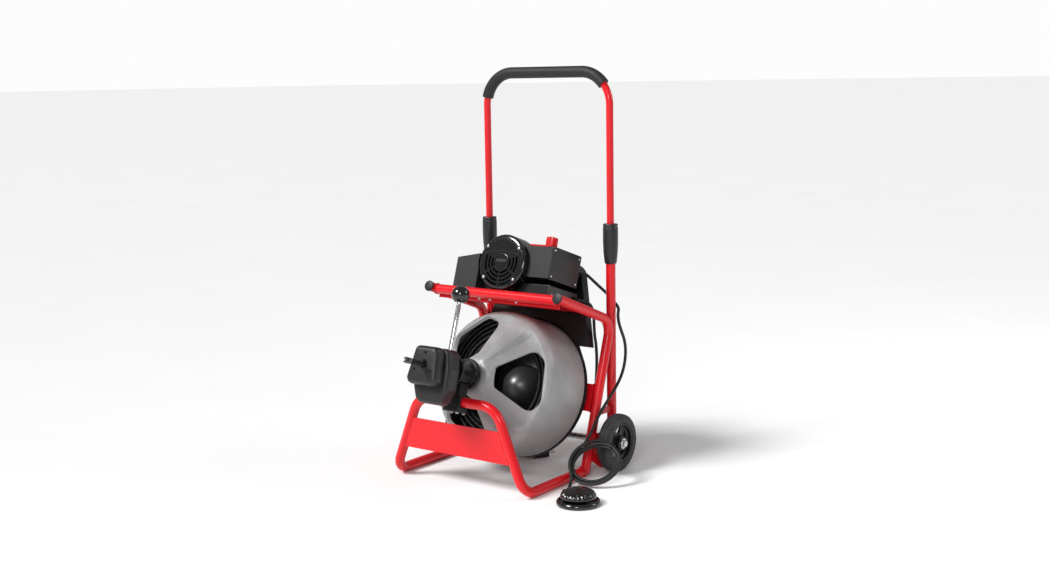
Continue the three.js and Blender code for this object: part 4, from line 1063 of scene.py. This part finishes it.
def boxes():
    for node, slot, edge in (("control_box", "charcoal_plastic", 3.0), ("control_box_cover", "black_plastic", 1.2),
                             ("capacitor_box", "charcoal_plastic", 3.0)):
        keep(node, slot, edge)
    for k, (v, w) in enumerate(((-180, 280), (-180, 347), (-68, 280), (-68, 347))):
        screw(f"cover_screw_{k + 1}", (145, v, w), (1, 0, 0), 3.2, lean=True)
    for k, (x, v) in enumerate(((-112, -86), (-90, -86))):
        screw(f"capacitor_screw_{k + 1}", (x, v, 290), (0, 1, 0), 3.0, lean=True)
    for k, (x, v) in enumerate(((152, -160), (152, -70), (-152, -190), (-152, -95))):
        hexagon_bolt(f"plate_bolt_{k + 1}", (x * 1.02, v, 217), (0, 0, 1), 5.2, lean=True)
    for k, x in enumerate((-20, 30, 95)):
        hexagon_bolt(f"base_bolt_{k + 1}", (x, -175, 228), (0, -1, 0), 4.2, lean=True)
    for k, v in enumerate((-160, -70)):
        hexagon_bolt(f"base_side_bolt_{k + 1}", (142, v, 231), (1, 0, 0), 4.6, lean=True)
    for k, x in enumerate((-60, -25, 60)):
        hexagon_bolt(f"apron_bolt_{k + 1}", (x, -193, 204), (0, -1, 0), 3.6, lean=True)
    plate = prism(rounded([(62, -184, 5), (128, -184, 5), (128, -136, 5), (62, -136, 5)]), 354.3, 359)
    plate = moved(plate, Matrix(((1, 0, 0, 0), (0, 0, 1, 0), (0, 1, 0, 0), (0, 0, 0, 1))))
    add("switch_base", plate, "red_plastic", lean=True, stands_for=["switch_plate"], bevel=1.2)
    knob = bmesh.new()
    rings = []
    for shrink, w in ((-1, 359.4), (-1, 378), (-0.5, 381.5), (0.8, 383), (3, 383.3)):
        ring = []
        for k in range(128):
            angle = 2 * math.pi * k / 128
            radius = 13.5 + 1.0 * math.cos(8 * angle) - shrink
            ring.append(knob.verts.new((115 + radius * math.cos(angle), -160 + radius * math.sin(angle), w)))
        rings.append(ring)
    for first, second in zip(rings, rings[1:]):
        for k in range(128):
            j = (k + 1) % 128
            knob.faces.new((first[k], first[j], second[j], second[k]))
    knob.faces.new(rings[0])
    knob.faces.new(rings[-1])
    add("switch_dial", knob, "red_plastic", "switch", lean=True, stands_for=["switch_knob"], sharp=50)
    pointer = prism(rounded([(113.2, -160, 1.5), (116.8, -160, 1.5), (116.8, -147.5, 1.5), (113.2, -147.5, 1.5)]),
                    383.0, 384.6)
    pointer = moved(pointer, Matrix(((1, 0, 0, 0), (0, 0, 1, 0), (0, 1, 0, 0), (0, 0, 0, 1))))
    add("switch_pointer", pointer, "black_plastic", "switch", lean=True, bevel=0.4)


tube_frame()
handle()
wheels()
feed()
belt_drive()
motor()
fan_guard()
boxes()


# Floor and light ----------------------------------------------------------------------------------
def studio():
    bpy.ops.mesh.primitive_plane_add(size=400, location=(0, 0, -0.0005))
    floor = bpy.context.object
    floor.name = "studio_floor"
    white = Surface("studio_floor", (0.93, 0.93, 0.93), 0.8).mottle(2, 0.01).polish(8, 0.05)
    floor.data.materials.append(white.material)
    world = bpy.data.worlds.new("studio")
    world.use_nodes = True
    nodes, links = world.node_tree.nodes, world.node_tree.links
    nodes["Background"].inputs["Color"].default_value = (1, 1, 1, 1)
    path, strength = nodes.new("ShaderNodeLightPath"), nodes.new("ShaderNodeMapRange")
    strength.inputs["To Min"].default_value, strength.inputs["To Max"].default_value = 0.30, 0.98
    links.new(path.outputs["Is Camera Ray"], strength.inputs["Value"])
    links.new(strength.outputs["Result"], nodes["Background"].inputs["Strength"])
    bpy.context.scene.world = world
    bpy.context.scene.view_settings.view_transform = "Standard"
    sun = bpy.data.lights.new("sun", "SUN")
    sun.energy, sun.angle = 3.15, math.radians(20)
    lamps = [(sun, (-1.3, -2.2, 2.9))]
    for name, place, size, power in (("front", (1.5, -2.6, 1.7), 0.8, 26), ("rim", (2.2, 1.8, 1.8), 1.0, 14)):
        data = bpy.data.lights.new(name, "AREA")
        data.size, data.energy = size, power
        lamps.append((data, place))
    for data, place in lamps:
        lamp = bpy.data.objects.new(data.name, data)
        lamp.location = place
        lamp.rotation_euler = (Vector((0, 0, 0.4)) - Vector(place)).to_track_quat("-Z", "Y").to_euler()
        bpy.context.collection.objects.link(lamp)


studio()
bpy.context.view_layer.update()
